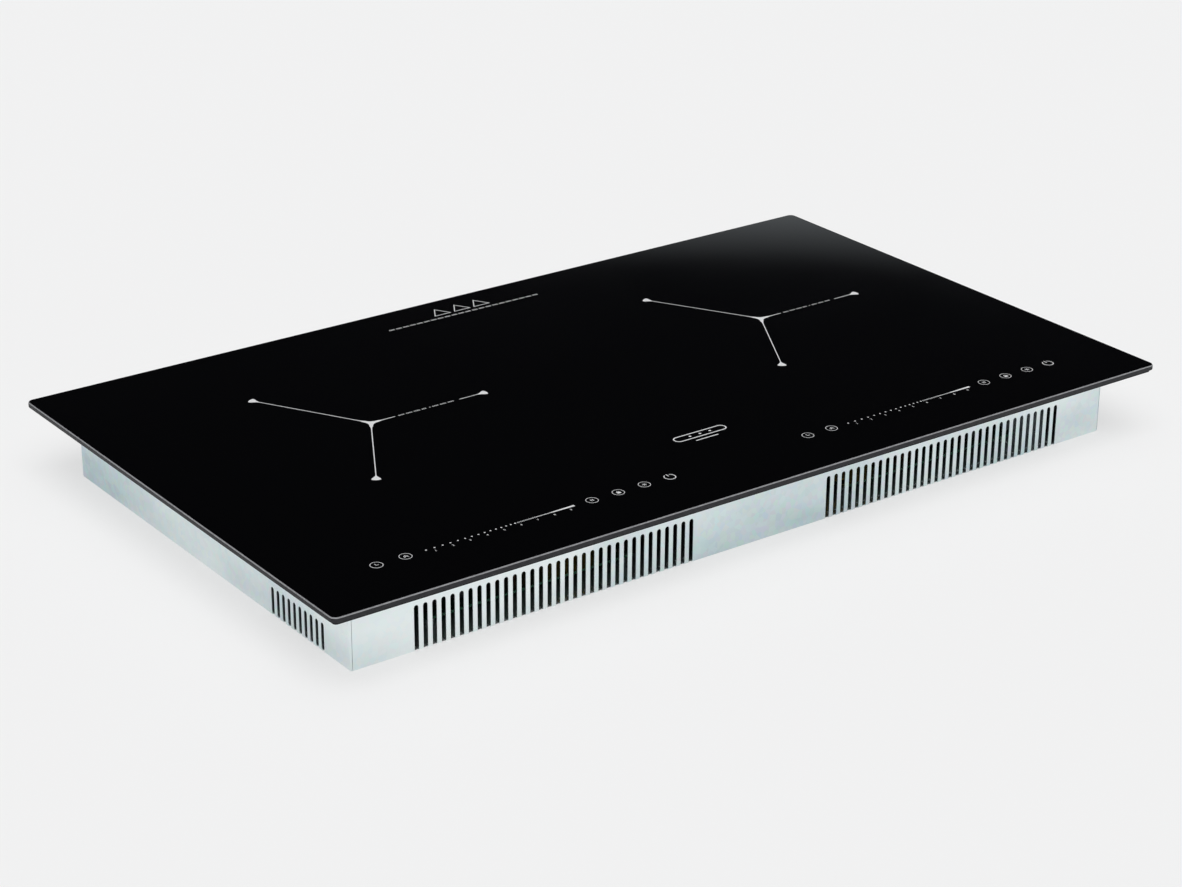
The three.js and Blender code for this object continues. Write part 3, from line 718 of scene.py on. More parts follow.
def line(path, half=LINE, closed=False):
    """A printed line of given half width: a thin closed body between its two edges."""
    right, left = sideways(path, half, closed)
    section = [(right, INK_LOW), (left, INK_LOW), (left, INK_HIGH), (right, INK_HIGH)]
    points = np.stack([np.column_stack([edge, np.full(len(edge), level)]) for edge, level in section], axis=1)
    faces = grid_faces(len(right), 4, wrap_rows=closed, wrap_columns=True).tolist()
    if not closed:
        faces += [[3, 2, 1, 0], [4 * len(right) - 4 + k for k in range(4)]]
    return points.reshape(-1, 3), faces


def patch(outline):
    """A printed patch: a thin closed body over an outline listed anticlockwise."""
    outline = np.asarray(outline, float)
    count = len(outline)
    levels = [np.full(count, level) for level in (INK_LOW, INK_HIGH)]
    points = np.concatenate([np.column_stack([outline, level]) for level in levels])
    faces = grid_faces(2, count, wrap_columns=True).tolist()
    return points, faces + [list(range(count))[::-1], list(range(count, 2 * count))]


def circle(x, y, radius, start=0.0, sweep=360.0, steps=28):
    """Points on a circle, or on an arc of it, anticlockwise from a starting angle in degrees."""
    full = sweep == 360.0
    turn = np.radians(start + np.linspace(0, sweep, steps + (not full), endpoint=not full))
    return np.column_stack([x + radius * np.cos(turn), y + radius * np.sin(turn)])


def dot(x, y, radius=0.65):
    """A printed dot."""
    return patch(circle(x, y, radius, steps=12))


def moved(part, x, y, turn=0.0):
    """A part turned about the upright axis by an angle in degrees, then moved."""
    points, faces = part
    cosine, sine = math.cos(math.radians(turn)), math.sin(math.radians(turn))
    rotation = np.array([[cosine, sine, 0], [-sine, cosine, 0], [0, 0, 1]])
    return np.asarray(points) @ rotation + (x, y, 0), faces


def ticks(first, last, pitch, half_height, y=0.0):
    """A run of fine upright strokes, every fifth one left out."""
    places = np.arange(first, last, pitch)
    kept = [x for i, x in enumerate(places) if i % 5 != 4]
    return [line([(x, y - half_height), (x, y + half_height)], FINE_LINE) for x in kept]


ZONE_ARM = 100.6
ZONE_DROP = 12.0
HUB = 6.0
HUB_HALF = 1.35
HUB_HOLLOW = 1.2
ARM_HALF = 0.33
ARM_EASE = 2.2
ARM_TAPER = 8.0
DROP_SWELL = 10.6
DROP_TIP = 0.05


def arm(first, last, drop=True):
    """One arm of a zone's mark, along +X. It narrows from the hub's width by an exponential, and ends in a
    drop whose half width is the cube of the way along times the root of one less the square of it."""
    along = np.linspace(first, first + ARM_TAPER, 9)
    swell = np.zeros(len(along))
    if drop:
        way = np.sin(np.linspace(0, np.pi / 2, 15))
        along = np.concatenate([along, last - ZONE_DROP + ZONE_DROP * way])
        swell = np.concatenate([swell, DROP_SWELL * way**3 * np.sqrt(1 - way**2)])
    else:
        along, swell = np.append(along, last), np.append(swell, 0.0)
    half = np.maximum(ARM_HALF + (HUB_HALF - ARM_HALF) * np.exp(-(along - HUB) / ARM_EASE), swell)
    if drop:
        half[-1] = DROP_TIP
    return line(np.column_stack([along, np.zeros(len(along))]), half)


def heading(turn):
    """A step of one along a direction in the plane, given in degrees from +X."""
    return np.array([math.cos(math.radians(turn)), math.sin(math.radians(turn))])


def hub():
    """The middle of a zone's mark: three hollow curves, each a quadratic from one arm's edge to the next
    one's."""
    outline = []
    way = np.linspace(0, 1, 9)[:, None]
    for turn in (0, 120, 240):
        start = HUB * heading(turn) + HUB_HALF * heading(turn + 90)
        end = HUB * heading(turn + 120) - HUB_HALF * heading(turn + 210)
        middle = HUB_HOLLOW * heading(turn + 60)
        outline.append((1 - way)**2 * start + 2 * way * (1 - way) * middle + way**2 * end)
    return patch(np.concatenate(outline))


SOLID_TO, SOLID_FROM = 20.6, 76.5
TICKED = [(23.8, 47.8), (53.3, 73.5)]
TICK_PITCH, TICK_HALF = 1.35, 0.75
MIDDLE_DOT = 50.5


def zone_mark(name, x, y):
    """A three-armed mark at the middle of a cooking zone; the arm along the long side is part solid, part
    ticked."""
    parts = [hub(), arm(HUB, SOLID_TO, drop=False)]
    parts += [moved(arm(HUB, ZONE_ARM), 0, 0, turn) for turn in (120, 240)]
    for first, last in TICKED:
        parts += ticks(first, last, TICK_PITCH, TICK_HALF)
    parts += [dot(MIDDLE_DOT, 0, 0.45), arm(SOLID_FROM, ZONE_ARM)]
    piece(name, moved(joined(parts), x, y), [INK], "black_glass", closed=True, smooth=30.0)


TYPE_SIZE = 1.37    # of a numeral's height


def numeral(figure, x, y, height):
    """A plain numeral lying on the glass, centred on a place, from Blender's own typeface."""
    curve = bpy.data.curves.new("numeral", "FONT")
    curve.body = figure
    curve.size = TYPE_SIZE * height
    curve.extrude = (INK_HIGH - INK_LOW) / 2
    curve.resolution_u = 3
    curve.align_x = "CENTER"
    curve.align_y = "CENTER"
    holder = bpy.data.objects.new("numeral", curve)
    bpy.context.scene.collection.objects.link(holder)
    mesh = bpy.data.meshes.new_from_object(holder.evaluated_get(bpy.context.evaluated_depsgraph_get()))
    points = np.empty(3 * len(mesh.vertices))
    mesh.vertices.foreach_get("co", points)
    faces = [list(face.vertices) for face in mesh.polygons]
    bpy.data.objects.remove(holder)
    return points.reshape(-1, 3) + (x, y, (INK_LOW + INK_HIGH) / 2), faces


KEY_RING = 4.3
KEY_LINE = 0.2
SIGN_LINE = 0.22


def key_ring():
    """The ring round a touch key's sign."""
    return line(circle(0, 0, KEY_RING), KEY_LINE, closed=True)


def timer_sign():
    """A clock's two hands."""
    return [key_ring(), line([(-0.4, 2.0), (-0.4, -0.3), (1.6, -0.3)], SIGN_LINE)]


def chevron_sign():
    """Two chevrons, one over the other."""
    chevrons = [[(-1.7, y - 0.7), (0, y + 0.7), (1.7, y - 0.7)] for y in (-0.8, 0.5)]
    return [key_ring()] + [line(chevron, SIGN_LINE) for chevron in chevrons]


def pause_sign():
    """Two upright strokes."""
    return [key_ring()] + [line([(x, -1.3), (x, 1.3)], FINE_LINE) for x in (-0.75, 0.75)]


def lock_sign():
    """A padlock."""
    shackle = np.vstack([[(0.85, 0.3)], circle(0, 0.7, 0.85, 0, 180, 10), [(-0.85, 0.3)]])
    return [key_ring(), patch([(-1.5, -1.8), (1.5, -1.8), (1.5, 0.3), (-1.5, 0.3)]), line(shackle, SIGN_LINE)]


def star_sign():
    """Three strokes that cross."""
    rays = [1.8 * heading(turn) for turn in (0, 60, 120)]
    return [key_ring()] + [line([-ray, ray], KEY_LINE) for ray in rays]


def power_sign():
    """A ring with a gap at its top, and a stroke in the gap."""
    return [line(circle(0, 0, 4.1, 118, 304, 24), 0.33), line([(0, 1.2), (0, 4.6)], 0.33)]


KEYS = [(0.0, timer_sign), (22.2, chevron_sign), (172.1, pause_sign), (194.3, lock_sign), (216.6, star_sign),
        (238.7, power_sign)]
SLIDER_FROM, LINE_FROM, BAR_FROM, SLIDER_TO = 38.0, 126.0, 138.0, 157.3
DOT_GAPS = np.linspace(6.6, 3.5, 14)
HATCH_PITCH, HATCH_HALF = 1.25, 0.7
BAR_HALVES = np.array([0.55, 1.05])
FIGURES = {"first": 42.9, "pitch": 13.6, "drop": 4.2, "height": 2.1}


def slider():
    """A finger slide: dots that draw together, then a fine hatch, a thin line and a widening bar, over the
    figures 1 to 9."""
    places = SLIDER_FROM + np.concatenate([[0], np.cumsum(DOT_GAPS)])
    parts = [dot(x, 0) for x in places]
    hatch = np.arange(places[-1] + 2.2, LINE_FROM, HATCH_PITCH)
    parts += [line([(x, -HATCH_HALF), (x, HATCH_HALF)], 0.25) for x in hatch]
    parts.append(line([(LINE_FROM, 0), (BAR_FROM, 0)], FINE_LINE))
    parts.append(line([(BAR_FROM, 0), (SLIDER_TO, 0)], BAR_HALVES))
    for i in range(9):
        x = FIGURES["first"] + FIGURES["pitch"] * i
        parts.append(numeral(str(i + 1), x, -FIGURES["drop"], FIGURES["height"]))
    return parts


def control_row(name, x, y):
    """One zone's row of touch keys and its slider."""
    parts = slider() + [moved(joined(sign()), offset, 0) for offset, sign in KEYS]
    piece(name, moved(joined(parts), x, y), [INK], "black_glass", closed=True, smooth=30.0)


TRIANGLE = np.array([(-7.2075, 0.5), (7.2075, 0.5), (0, 12.59)])
TRIANGLE_LINE, TRIANGLE_Y = 0.34, 186.0
RULE = {"first": -72, "last": 71, "pitch": 1.3, "half": 0.95, "y": 180.5}


def rear_marks():
    """Three plain hollow triangles over a fine broken rule, at the middle of the back edge."""
    triangle = line(TRIANGLE, TRIANGLE_LINE, closed=True)
    parts = [moved(triangle, x, TRIANGLE_Y) for x in (-18.5, 0, 18.5)]
    parts += ticks(RULE["first"], RULE["last"], RULE["pitch"], RULE["half"], RULE["y"])
    piece("rear_marks", joined(parts), [INK], "black_glass", closed=True, smooth=30.0)


BADGE_HALF, BADGE_RADIUS, BADGE_LINE, BADGE_Y = 19.0, 3.8, 0.5, -118.5


def badge():
    """A plain capsule outline with three dots, at the middle of the front edge, over a short rule."""
    right = circle(BADGE_HALF, 0, BADGE_RADIUS, -90, 180, 14)
    left = circle(-BADGE_HALF, 0, BADGE_RADIUS, 90, 180, 14)
    parts = [line(np.vstack([right, left]), BADGE_LINE, closed=True)]
    parts.append(line([(-10, -8.5), (10, -8.5)], BADGE_LINE))
    parts += [dot(x, 0, 1.0) for x in (-9, 0, 9)]
    piece("front_badge", moved(joined(parts), 0, BADGE_Y), [INK], "black_glass", closed=True, smooth=30.0)


ZONE_X, ZONE_Y = 181.3, 33.8
LEFT_KEYS_X, RIGHT_KEYS_X, KEYS_Y = -302.4, 60.9, -165.8
zone_mark("left_zone_mark", -ZONE_X, ZONE_Y)
zone_mark("right_zone_mark", ZONE_X, ZONE_Y)
control_row("left_control_marks", LEFT_KEYS_X, KEYS_Y)
control_row("right_control_marks", RIGHT_KEYS_X, KEYS_Y)
rear_marks()
badge()


# ---------------------------------------------------------------- turned, drawn and wound pieces

def around(centre, reach, turn, level):
    """Points round an upright axis: a reach and an angle about a centre, at a level."""
    return np.column_stack([centre[0] + reach * np.cos(turn), centre[1] + reach * np.sin(turn),
                            np.broadcast_to(level, len(turn))])


def turned(profile, centre, steps=48, axis="Z"):
    """A closed (radius, place) profile carried round an axis: a lathe's work. A radius of nothing makes a
    pole."""
    radius, place = np.asarray(profile, float).T[:, :, None]
    angle = np.linspace(0, 2 * np.pi, steps, endpoint=False)
    first, second, place = np.broadcast_arrays(radius * np.cos(angle), radius * np.sin(angle), place)
    order = {"Z": (first, second, place), "Y": (first, place, second)}[axis]
    points = np.stack(order, axis=-1) + np.asarray(centre)
    return points.reshape(-1, 3), grid_faces(len(profile), steps, wrap_rows=True, wrap_columns=True)


def tube(path, radius, upright=(0, 0, 1), sides=8):
    """A round section carried along a path. At each point one side of the section leans towards the upright
    direction, made square to the path."""
    path = np.asarray(path, float)
    run = np.gradient(path, axis=0)
    run /= np.linalg.norm(run, axis=1, keepdims=True)
    upright = np.broadcast_to(np.asarray(upright, float), path.shape)
    first = upright - np.sum(upright * run, axis=1, keepdims=True) * run
    first /= np.linalg.norm(first, axis=1, keepdims=True)
    second = np.cross(run, first)
    angle = np.linspace(0, 2 * np.pi, sides, endpoint=False)
    radius = np.broadcast_to(radius, len(path))[:, None, None]
    ring = np.cos(angle)[None, :, None] * first[:, None] + np.sin(angle)[None, :, None] * second[:, None]
    points = (path[:, None] + radius * ring).reshape(-1, 3)
    faces = grid_faces(len(path), sides, wrap_columns=True).tolist()
    return points, faces + [list(range(sides)), list(range(len(points) - sides, len(points)))]


def rounded_block(low, high, corner, edge):
    """A block with round upright corners, and a quarter circle round its top and bottom edges."""
    low, high = np.asarray(low, float), np.asarray(high, float)
    turn = np.linspace(0, np.pi / 2, 4)
    profile = [(edge - edge * math.sin(t), low[2] + edge - edge * math.cos(t)) for t in turn]
    profile += [(edge - edge * math.cos(t), high[2] - edge + edge * math.sin(t)) for t in turn]
    size = high - low
    points, faces = ring_stack(size[0], size[1], corner, profile, steps=4)
    return points + ((low[0] + high[0]) / 2, (low[1] + high[1]) / 2, 0), faces


def helix(centre, radius, low, high, turns, steps=20):
    """A coil spring's wire: a helix that lies flat for its first and last eight tenths of a turn."""
    way = np.linspace(0, 1, int(turns * steps))
    climb = np.clip((way * turns - 0.8) / (turns - 1.6), 0, 1)
    return around(centre, radius, 2 * np.pi * turns * way, low + (high - low) * climb)


def spiral(centre, inner, outer, level, turns, steps=44):
    """A flat winding: a spiral whose radius grows evenly with the angle."""
    way = np.linspace(0, 1, int(turns * steps))
    return around(centre, inner + (outer - inner) * way, 2 * np.pi * turns * way, level)


def flattened(value):
    """A value between -1 and 1, pushed outwards: its size to the power 0.6, with its sign."""
    return np.sign(value) * np.abs(value)**0.6


def toroid(centre, inner, outer, low, high, turns, wire, steps=16):
    """A wire wound round a ring core, and the core. The wire's path goes round the core's section, a
    squared oval, once for each turn while it goes once round the ring, over seven eighths of it."""
    middle, half = (inner + outer) / 2, (outer - inner) / 2 - wire
    tall = (high - low) / 2 - wire
    way = np.linspace(0, 1, turns * steps)
    round_ring, round_section = 2 * np.pi * 0.875 * way, 2 * np.pi * turns * way
    reach = middle + half * flattened(np.cos(round_section))
    level = (low + high) / 2 + tall * flattened(np.sin(round_section))
    lean = np.column_stack([-np.sin(round_ring), np.cos(round_ring), 0 * way])
    winding = tube(around(centre, reach, round_ring, level), wire, upright=lean, sides=6)
    wide, up = half - wire, tall - wire
    inside, outside = middle - wide, middle + wide
    core = [(inside, 1 - up), (inside + 1, -up), (outside - 1, -up), (outside, 1 - up),
            (outside, up - 1), (outside - 1, up), (inside + 1, up), (inside, up - 1)]
    return winding, turned(core, (*centre, (low + high) / 2), 40)


def middle_of(node):
    """A CAD piece's lowest corner, highest corner and middle."""
    low, high = node_box(node)
    return low, high, (low + high) / 2


def stand_in(name, node, part, material, slot, **more):
    """A closed piece in place of one of the CAD's."""
    piece(name, part, [material], slot, replaces=[node], closed=True, **more)


# ---------------------------------------------------------------- cable gland and the tray's fittings

def gland():
    """The cable's grommet: a flange on each side of the rear wall and a tapered, ribbed nose, all one
    moulding."""
    low, high, middle = middle_of("cable_gland")
    outside, inside = CASE_Y, CASE_Y - SHEET
    bore, neck, inner_flange, outer_flange = 4.6, 8.0, 10.0, 11.0
    profile = [(bore, low[1]), (inner_flange - 0.4, low[1]), (inner_flange, low[1] + 0.4),
               (inner_flange, inside - 0.4), (neck, inside - 0.3), (neck, outside + 0.3),
               (outer_flange - 0.3, outside + 0.3), (outer_flange, outside + 0.6),
               (outer_flange, outside + 2.6), (outer_flange - 0.4, outside + 3.0)]
    for rib in range(5):
        start, out = outside + 3.0 + 1.8 * rib, 9.3 - 0.42 * rib
        root = out - 1.0
        profile += [(root, start + 0.1), (root, start + 0.6), (out, start + 0.9), (out, start + 1.5)]
    profile += [(bore + 2.2, high[1] - 0.1), (bore + 0.3, high[1]), (bore, high[1] - 0.3)]
    moulding = turned(profile, (middle[0], 0, middle[2]), 48, axis="Y")
    stand_in("gland_moulding", "cable_gland", moulding, BLACK_PLASTIC, "black_plastic")


def standoff(x, y, top, radius=3.0):
    """A swaged post on the tray's floor: a flared foot under a straight barrel with a bevelled top."""
    flare = radius + 1.2
    profile = [(0, SHEET - 0.1), (flare, SHEET - 0.1), (flare, SHEET + 0.2), (radius, SHEET + 1.2),
               (radius, top - 0.4), (radius - 0.4, top), (0, top)]
    return turned(profile, (x, y, 0), 20)


def board_corners(inset=6.0):
    """Every board's four fixing places, as x, y and the board's under and upper levels."""
    for board in BOARDS:
        low, high = node_box(board)
        for x in (low[0] + inset, high[0] - inset):
            for y in (low[1] + inset, high[1] - inset):
                yield x, y, low[2], high[2]


BOARDS = ["filter_board", "left_power_board", "right_power_board"]
SPRING_POST_TOP = 20.0
SCREW_SIDES = 32
BASE_SCREW_PROUD = 0.02


def standoffs():
    """The posts that the boards and the coils' springs stand on."""
    posts = [standoff(x, y, under - 0.3) for x, y, under, upper in board_corners()]
    for side in ("left", "right"):
        for i in range(1, 4):
            x, y, level = middle_of(f"{side}_coil_spring_{i}")[2]
            posts.append(standoff(x, y, SPRING_POST_TOP))
    piece("tray_standoffs", joined(posts), [ZINC_SHEET], "zinc_steel", weld=0.001, closed=True)


def head_grid(ways, radius):
    """A screw head's grid over the way out and the angle: each point's reach, its angle, and whether the
    cross is sunk there. The cross has four arms, where the angle's fourfold cosine is near one."""
    angle = np.linspace(0, 2 * np.pi, SCREW_SIDES, endpoint=False)
    reach = np.broadcast_to(np.array(ways)[:, None] * radius, (len(ways), SCREW_SIDES))
    arms = (np.cos(4 * angle) > 0.6)[None, :] & (reach < 0.55 * radius)
    return reach, angle, arms | (reach < 0.1)


def head_mesh(x, y, reach, angle, level):
    """The points and faces of a screw head's grid."""
    points = np.stack([x + reach * np.cos(angle), y + reach * np.sin(angle), level], axis=-1)
    return points.reshape(-1, 3), grid_faces(len(reach), SCREW_SIDES, wrap_columns=True)


def screw(x, y, seat, radius=3.0):
    """A pan head with a cross recess. The dome's height is the root of one less the square of eight tenths
    of the way out."""
    reach, angle, sunk = head_grid([0.0, 0.25, 0.5, 0.6, 0.75, 0.9, 1.0, 1.0], radius)
    level = 1.9 * np.sqrt(1 - (0.8 * reach / radius)**2) - 1.2 * sunk
    level[-1] = 0.0
    points, faces = head_mesh(x, y, reach, angle, seat + level)
    return points, faces.tolist() + [list(range(len(points) - SCREW_SIDES, len(points)))]


def flat_screw(x, y, radius=3.2):
    """A countersunk head seen from below: a flat disc that stands just proud of the base, its cross sunk
    upwards."""
    reach, angle, sunk = head_grid([0.0, 0.2, 0.4, 0.5, 0.6, 0.9, 1.0, 1.0], radius)
    level = np.where(sunk, 0.6, -BASE_SCREW_PROUD)
    level[-2] = -0.4 * BASE_SCREW_PROUD
    level[-1] = 0.5 * SHEET
    points, faces = head_mesh(x, y, reach, angle, level)
    return points, faces[:, ::-1]


def base_screws():
    """A screw head under every post that a board stands on."""
    heads = [flat_screw(x, y) for x, y, under, upper in board_corners()]
    piece("base_screws", joined(heads), [SPRING_STEEL], "spring_steel", weld=0.001)


def board_screws():
    """A screw head on each of a board's corners."""
    heads = [screw(x, y, upper + 0.02) for x, y, under, upper in board_corners()]
    piece("board_screws", joined(heads), [SPRING_STEEL], "spring_steel", weld=0.001, closed=True)


gland()
standoffs()
base_screws()
board_screws()


# ---------------------------------------------------------------- coils

COIL_HOLE = 24.0
WIRE_GAP = 0.15
MICA_HOLE = 10.0
SPRING_WIRE = 0.5
SPRING_TURNS = 8
EARS = (90, 210, 330)


def former_profile(radius, low, high):
    """A dish's half section: a floor between an outer wall and a ring round the sensor's hole."""
    floor = low + 2.5
    hole, ring, wall = 12.0, 13.5, radius - 1.5
    return [(hole, low + 0.3), (hole + 0.3, low), (radius - 0.4, low), (radius, low + 0.4),
            (radius, high - 0.4), (radius - 0.4, high), (wall + 0.3, high), (wall, high - 0.4),
            (wall, floor + 0.4), (wall - 0.4, floor), (ring + 0.4, floor), (ring, floor + 0.4),
            (ring, high - 0.3), (ring - 0.3, high), (hole + 0.3, high), (hole, high - 0.3)]


def sensor_profile(low, high):
    """A stepped holder's half section: a wide foot under a narrower barrel."""
    foot, barrel = 11.0, 7.0
    return [(0, low), (foot - 0.4, low), (foot, low + 0.4), (foot, low + 1.4), (foot - 0.5, low + 1.7),
            (barrel + 0.2, low + 2.6), (barrel, low + 3.2), (barrel, high - 1.2), (barrel - 0.8, high),
            (0, high)]


def coil(side):
    """One zone's coil: its spiral of wire, its former, mica disc and sensor holder, and the springs that it
    stands on."""
    low, high, middle = middle_of(f"{side}_coil_winding")
    wire = (high[2] - low[2]) / 2
    inner, outer = COIL_HOLE + wire, (high[0] - low[0]) / 2 - wire
    turns = (outer - inner) / (2 * wire + WIRE_GAP)
    winding = tube(spiral(middle, inner, outer, middle[2], turns), 0.98 * wire)
    axis = (middle[0], middle[1], 0)
    stand_in(f"{side}_litz_winding", f"{side}_coil_winding", winding, COPPER, "copper")
    low, high = node_box(f"{side}_coil_former")
    former = turned(former_profile((high[0] - low[0]) / 2, low[2], high[2]), axis, 72)
    stand_in(f"{side}_former", f"{side}_coil_former", former, HEAT_PLASTIC, "heat_plastic")
    low, high = node_box(f"{side}_mica_sheet")
    edge = (high[0] - low[0]) / 2
    sheet = turned([(MICA_HOLE, low[2]), (edge, low[2]), (edge, high[2]), (MICA_HOLE, high[2])], axis, 72)
    stand_in(f"{side}_mica_disc", f"{side}_mica_sheet", sheet, MICA, "mica")
    low, high = node_box(f"{side}_temperature_sensor")
    holder = turned(sensor_profile(low[2], high[2]), axis, 32)
    stand_in(f"{side}_sensor_holder", f"{side}_temperature_sensor", holder, WHITE_PLASTIC, "white_plastic",
             weld=0.001)
    for i in range(1, 4):
        low, high, middle = middle_of(f"{side}_coil_spring_{i}")
        radius = (high[0] - low[0]) / 2 - SPRING_WIRE
        path = helix(middle, radius, low[2] + SPRING_WIRE, high[2] - SPRING_WIRE, SPRING_TURNS)
        stand_in(f"{side}_spring_wire_{i}", f"{side}_coil_spring_{i}", tube(path, SPRING_WIRE), SPRING_STEEL,
                 "spring_steel")


def stacked(centre, angle, rows):
    """Rows of (reach, level) round an upright axis, joined into one closed section."""
    points = np.concatenate([around(centre, reach, angle, level) for reach, level in rows])
    return points, grid_faces(len(rows), len(angle), wrap_rows=True, wrap_columns=True)


def coil_plate(side):
    """The round aluminium plate with three ears. Its outline is the farther of the disc's edge and, near
    each ear, the ear's edge, as one polar radius; an open middle lets the sensor through."""
    low, high = node_box(f"{side}_coil_plate")
    bottom, top = low[2], high[2]
    disc, ear, reach, hole, edge_round = 101.0, 10.0, 108.0, 9.0, 0.2
    fine = np.concatenate([np.linspace(-7, 7, 22) + turn for turn in EARS])
    angle = np.radians(np.unique(np.concatenate([np.arange(0, 360, 5.0), fine])))
    from_ears = angle - np.radians(EARS)[:, None]
    off = np.abs((from_ears + np.pi) % (2 * np.pi) - np.pi).min(axis=0)
    inside = ear**2 - (reach * np.sin(off))**2
    ear_edge = np.where(inside > 0, reach * np.cos(off) + np.sqrt(np.clip(inside, 0, None)), 0)
    edge = np.maximum(disc, ear_edge)
    rows = [(hole, bottom), (edge - edge_round, bottom), (edge, bottom + edge_round),
            (edge, top - edge_round), (edge - edge_round, top), (hole, top)]
    part = stacked(middle_of(f"{side}_coil_winding")[2], angle, rows)
    stand_in(f"{side}_plate", f"{side}_coil_plate", part, ALUMINIUM, "aluminium")


# ---------------------------------------------------------------- fans

FAN_BLADES = 7
DUCT = 43.0
FRAME_CORNER = 5.0
STRUT_FROM = 16.0
CUP = 17.0
CUP_INSIDE = 15.0
BLADE_TIP = 39.3
BLADE_ROWS = 9


def square_reach(angle, half, corner):
    """How far a square with round corners reaches at each angle. Beyond the corner's start in both
    directions the plain square's point is pulled back onto the corner's circle."""
    duct = np.column_stack([np.cos(angle), np.sin(angle)])
    square = duct * (half / np.abs(duct).max(axis=1).clip(0.5))[:, None]
    over = np.abs(square) - (half - corner)
    at_corner = np.all(over > 0, axis=1)[:, None]
    size = np.where(at_corner, np.linalg.norm(over, axis=1)[:, None], corner)
    rounded = np.sign(square) * ((half - corner) + over * corner / size)
    return np.where(at_corner, rounded, square)


def fan_frame(side):
    """A square frame with round corners and a round duct: each row of its closed section runs round the
    duct, then round the square, so a grid joins them. Four bowed struts hold the motor's seat."""
    low, high, middle = middle_of(f"{side}_fan_frame")
    half, bottom, top = (high[0] - low[0]) / 2, low[2], high[2]
    angle = np.radians(np.arange(0, 360, 3.75))
    duct = np.column_stack([np.cos(angle), np.sin(angle)])
    square = square_reach(angle, half, FRAME_CORNER)
    rows = [((DUCT + 1.5) * duct, bottom), (square, bottom), (square, top), ((DUCT + 1.2) * duct, top),
            ((DUCT + 0.2) * duct, top - 1.0), (DUCT * duct, top - 2.5), (DUCT * duct, bottom + 3.0),
            ((DUCT + 0.4) * duct, bottom + 1.2)]
    points = [np.column_stack([middle[:2] + outline, np.full(len(angle), level)]) for outline, level in rows]
    parts = [(np.concatenate(points), grid_faces(len(rows), len(angle), wrap_rows=True, wrap_columns=True))]
    seat, sleeve, bore = 17.0, 4.0, 1.9
    parts.append(turned([(bore, bottom + 0.3), (seat - 0.4, bottom + 0.1), (seat, bottom + 0.5),
                         (seat, bottom + 2.5), (sleeve, bottom + 2.5), (sleeve, top - 8.2),
                         (sleeve - 0.4, top - 8.0), (bore, top - 8.0)], (middle[0], middle[1], 0), 40))
    way = np.linspace(0, 1, 12)
    for start in np.radians([45, 135, 225, 315]):
        reach = STRUT_FROM + (DUCT + 1.0 - STRUT_FROM) * way
        path = around(middle, reach, start + 0.35 * np.sin(np.pi * way), bottom + 1.35)
        parts.append(tube(path, 1.25, sides=10))
    stand_in(f"{side}_fan_housing", f"{side}_fan_frame", joined(parts), BLACK_PLASTIC, "black_plastic")


def fan_blade(low, middle, high):
    """One blade: a thin aerofoil over (radius, chord). The chord line turns by a pitch that falls towards
    the tip, sweeps forward with the square of the radius, and bows upwards by a parabola."""
    radius = np.linspace(CUP - 0.6, BLADE_TIP, BLADE_ROWS)[:, None]
    reach = (radius - CUP) / (BLADE_TIP - CUP)
    forth = np.linspace(-1, 1, 9)
    chord_place = np.concatenate([forth, -forth[1:-1]])[None, :]
    face = np.concatenate([np.ones(9), -np.ones(7)])[None, :]
    pitch = np.radians(46 - 19 * reach)
    thick = (0.9 - 0.3 * reach) * np.sqrt(np.clip(1 - chord_place**2, 0.02, None))
    along = 0.5 * (17.5 + 5.5 * reach) * chord_place
    up = 1.6 * (1 - chord_place**2) + face * thick
    swing = (along * np.cos(pitch) - up * np.sin(pitch) + 5.0 * reach**2) / radius
    level = np.clip(middle + along * np.sin(pitch) + up * np.cos(pitch), low + 0.2, high - 0.2)
    points = np.stack([radius * np.cos(swing), radius * np.sin(swing), level], axis=-1).reshape(-1, 3)
    count = chord_place.size
    ends = [list(range(count)), list(range(len(points) - count, len(points)))]
    return points, grid_faces(BLADE_ROWS, count, wrap_columns=True).tolist() + ends


def fan_rotor(side):
    """The rotor: a cup over its shaft, with the blades round it."""
    low, high, middle = middle_of(f"{side}_fan_impeller")
    x, y = middle_of(f"{side}_fan_frame")[2][:2]
    bottom, top = low[2], high[2]
    cup = [(CUP_INSIDE, bottom), (CUP, bottom), (CUP, top - 1.5), (CUP - 0.5, top - 0.5), (CUP - 1.6, top),
           (0, top), (0, top - 2.0), (CUP_INSIDE, top - 2.0)]
    shaft = [(0, bottom + 2), (1.5, bottom + 2), (1.5, top - 1.5), (0, top - 1.5)]
    parts = [turned(cup, (x, y, 0), 48), turned(shaft, (x, y, 0), 12)]
    blade = fan_blade(bottom, middle[2], top)
    parts += [moved(blade, x, y, turn) for turn in np.arange(FAN_BLADES) * 360 / FAN_BLADES]
    stand_in(f"{side}_fan_rotor", f"{side}_fan_impeller", joined(parts), BLACK_PLASTIC, "black_plastic",
             body=f"{side}_fan", weld=0.001)


# ---------------------------------------------------------------- power electronics

def wound_choke(name, node, turns, wire):
    """A choke: a wire wound round a ferrite ring."""
    low, high, middle = middle_of(node)
    outer = (high[0] - low[0]) / 2
    winding, core = toroid(middle[:2], 0.38 * outer, outer, low[2], high[2], turns, wire)
    stand_in(name, node, winding, COPPER, "copper")
    piece(name + "_core", core, [FERRITE], "ferrite", closed=True)


def boxed_capacitor(name, node):
    """A moulded capacitor: a rounded box standing just off its board."""
    low, high = node_box(node)
    stand_in(name, node, rounded_block(low + (0, 0, 0.4), high, 1.2, 0.6), YELLOW_PLASTIC, "capacitor_yellow")


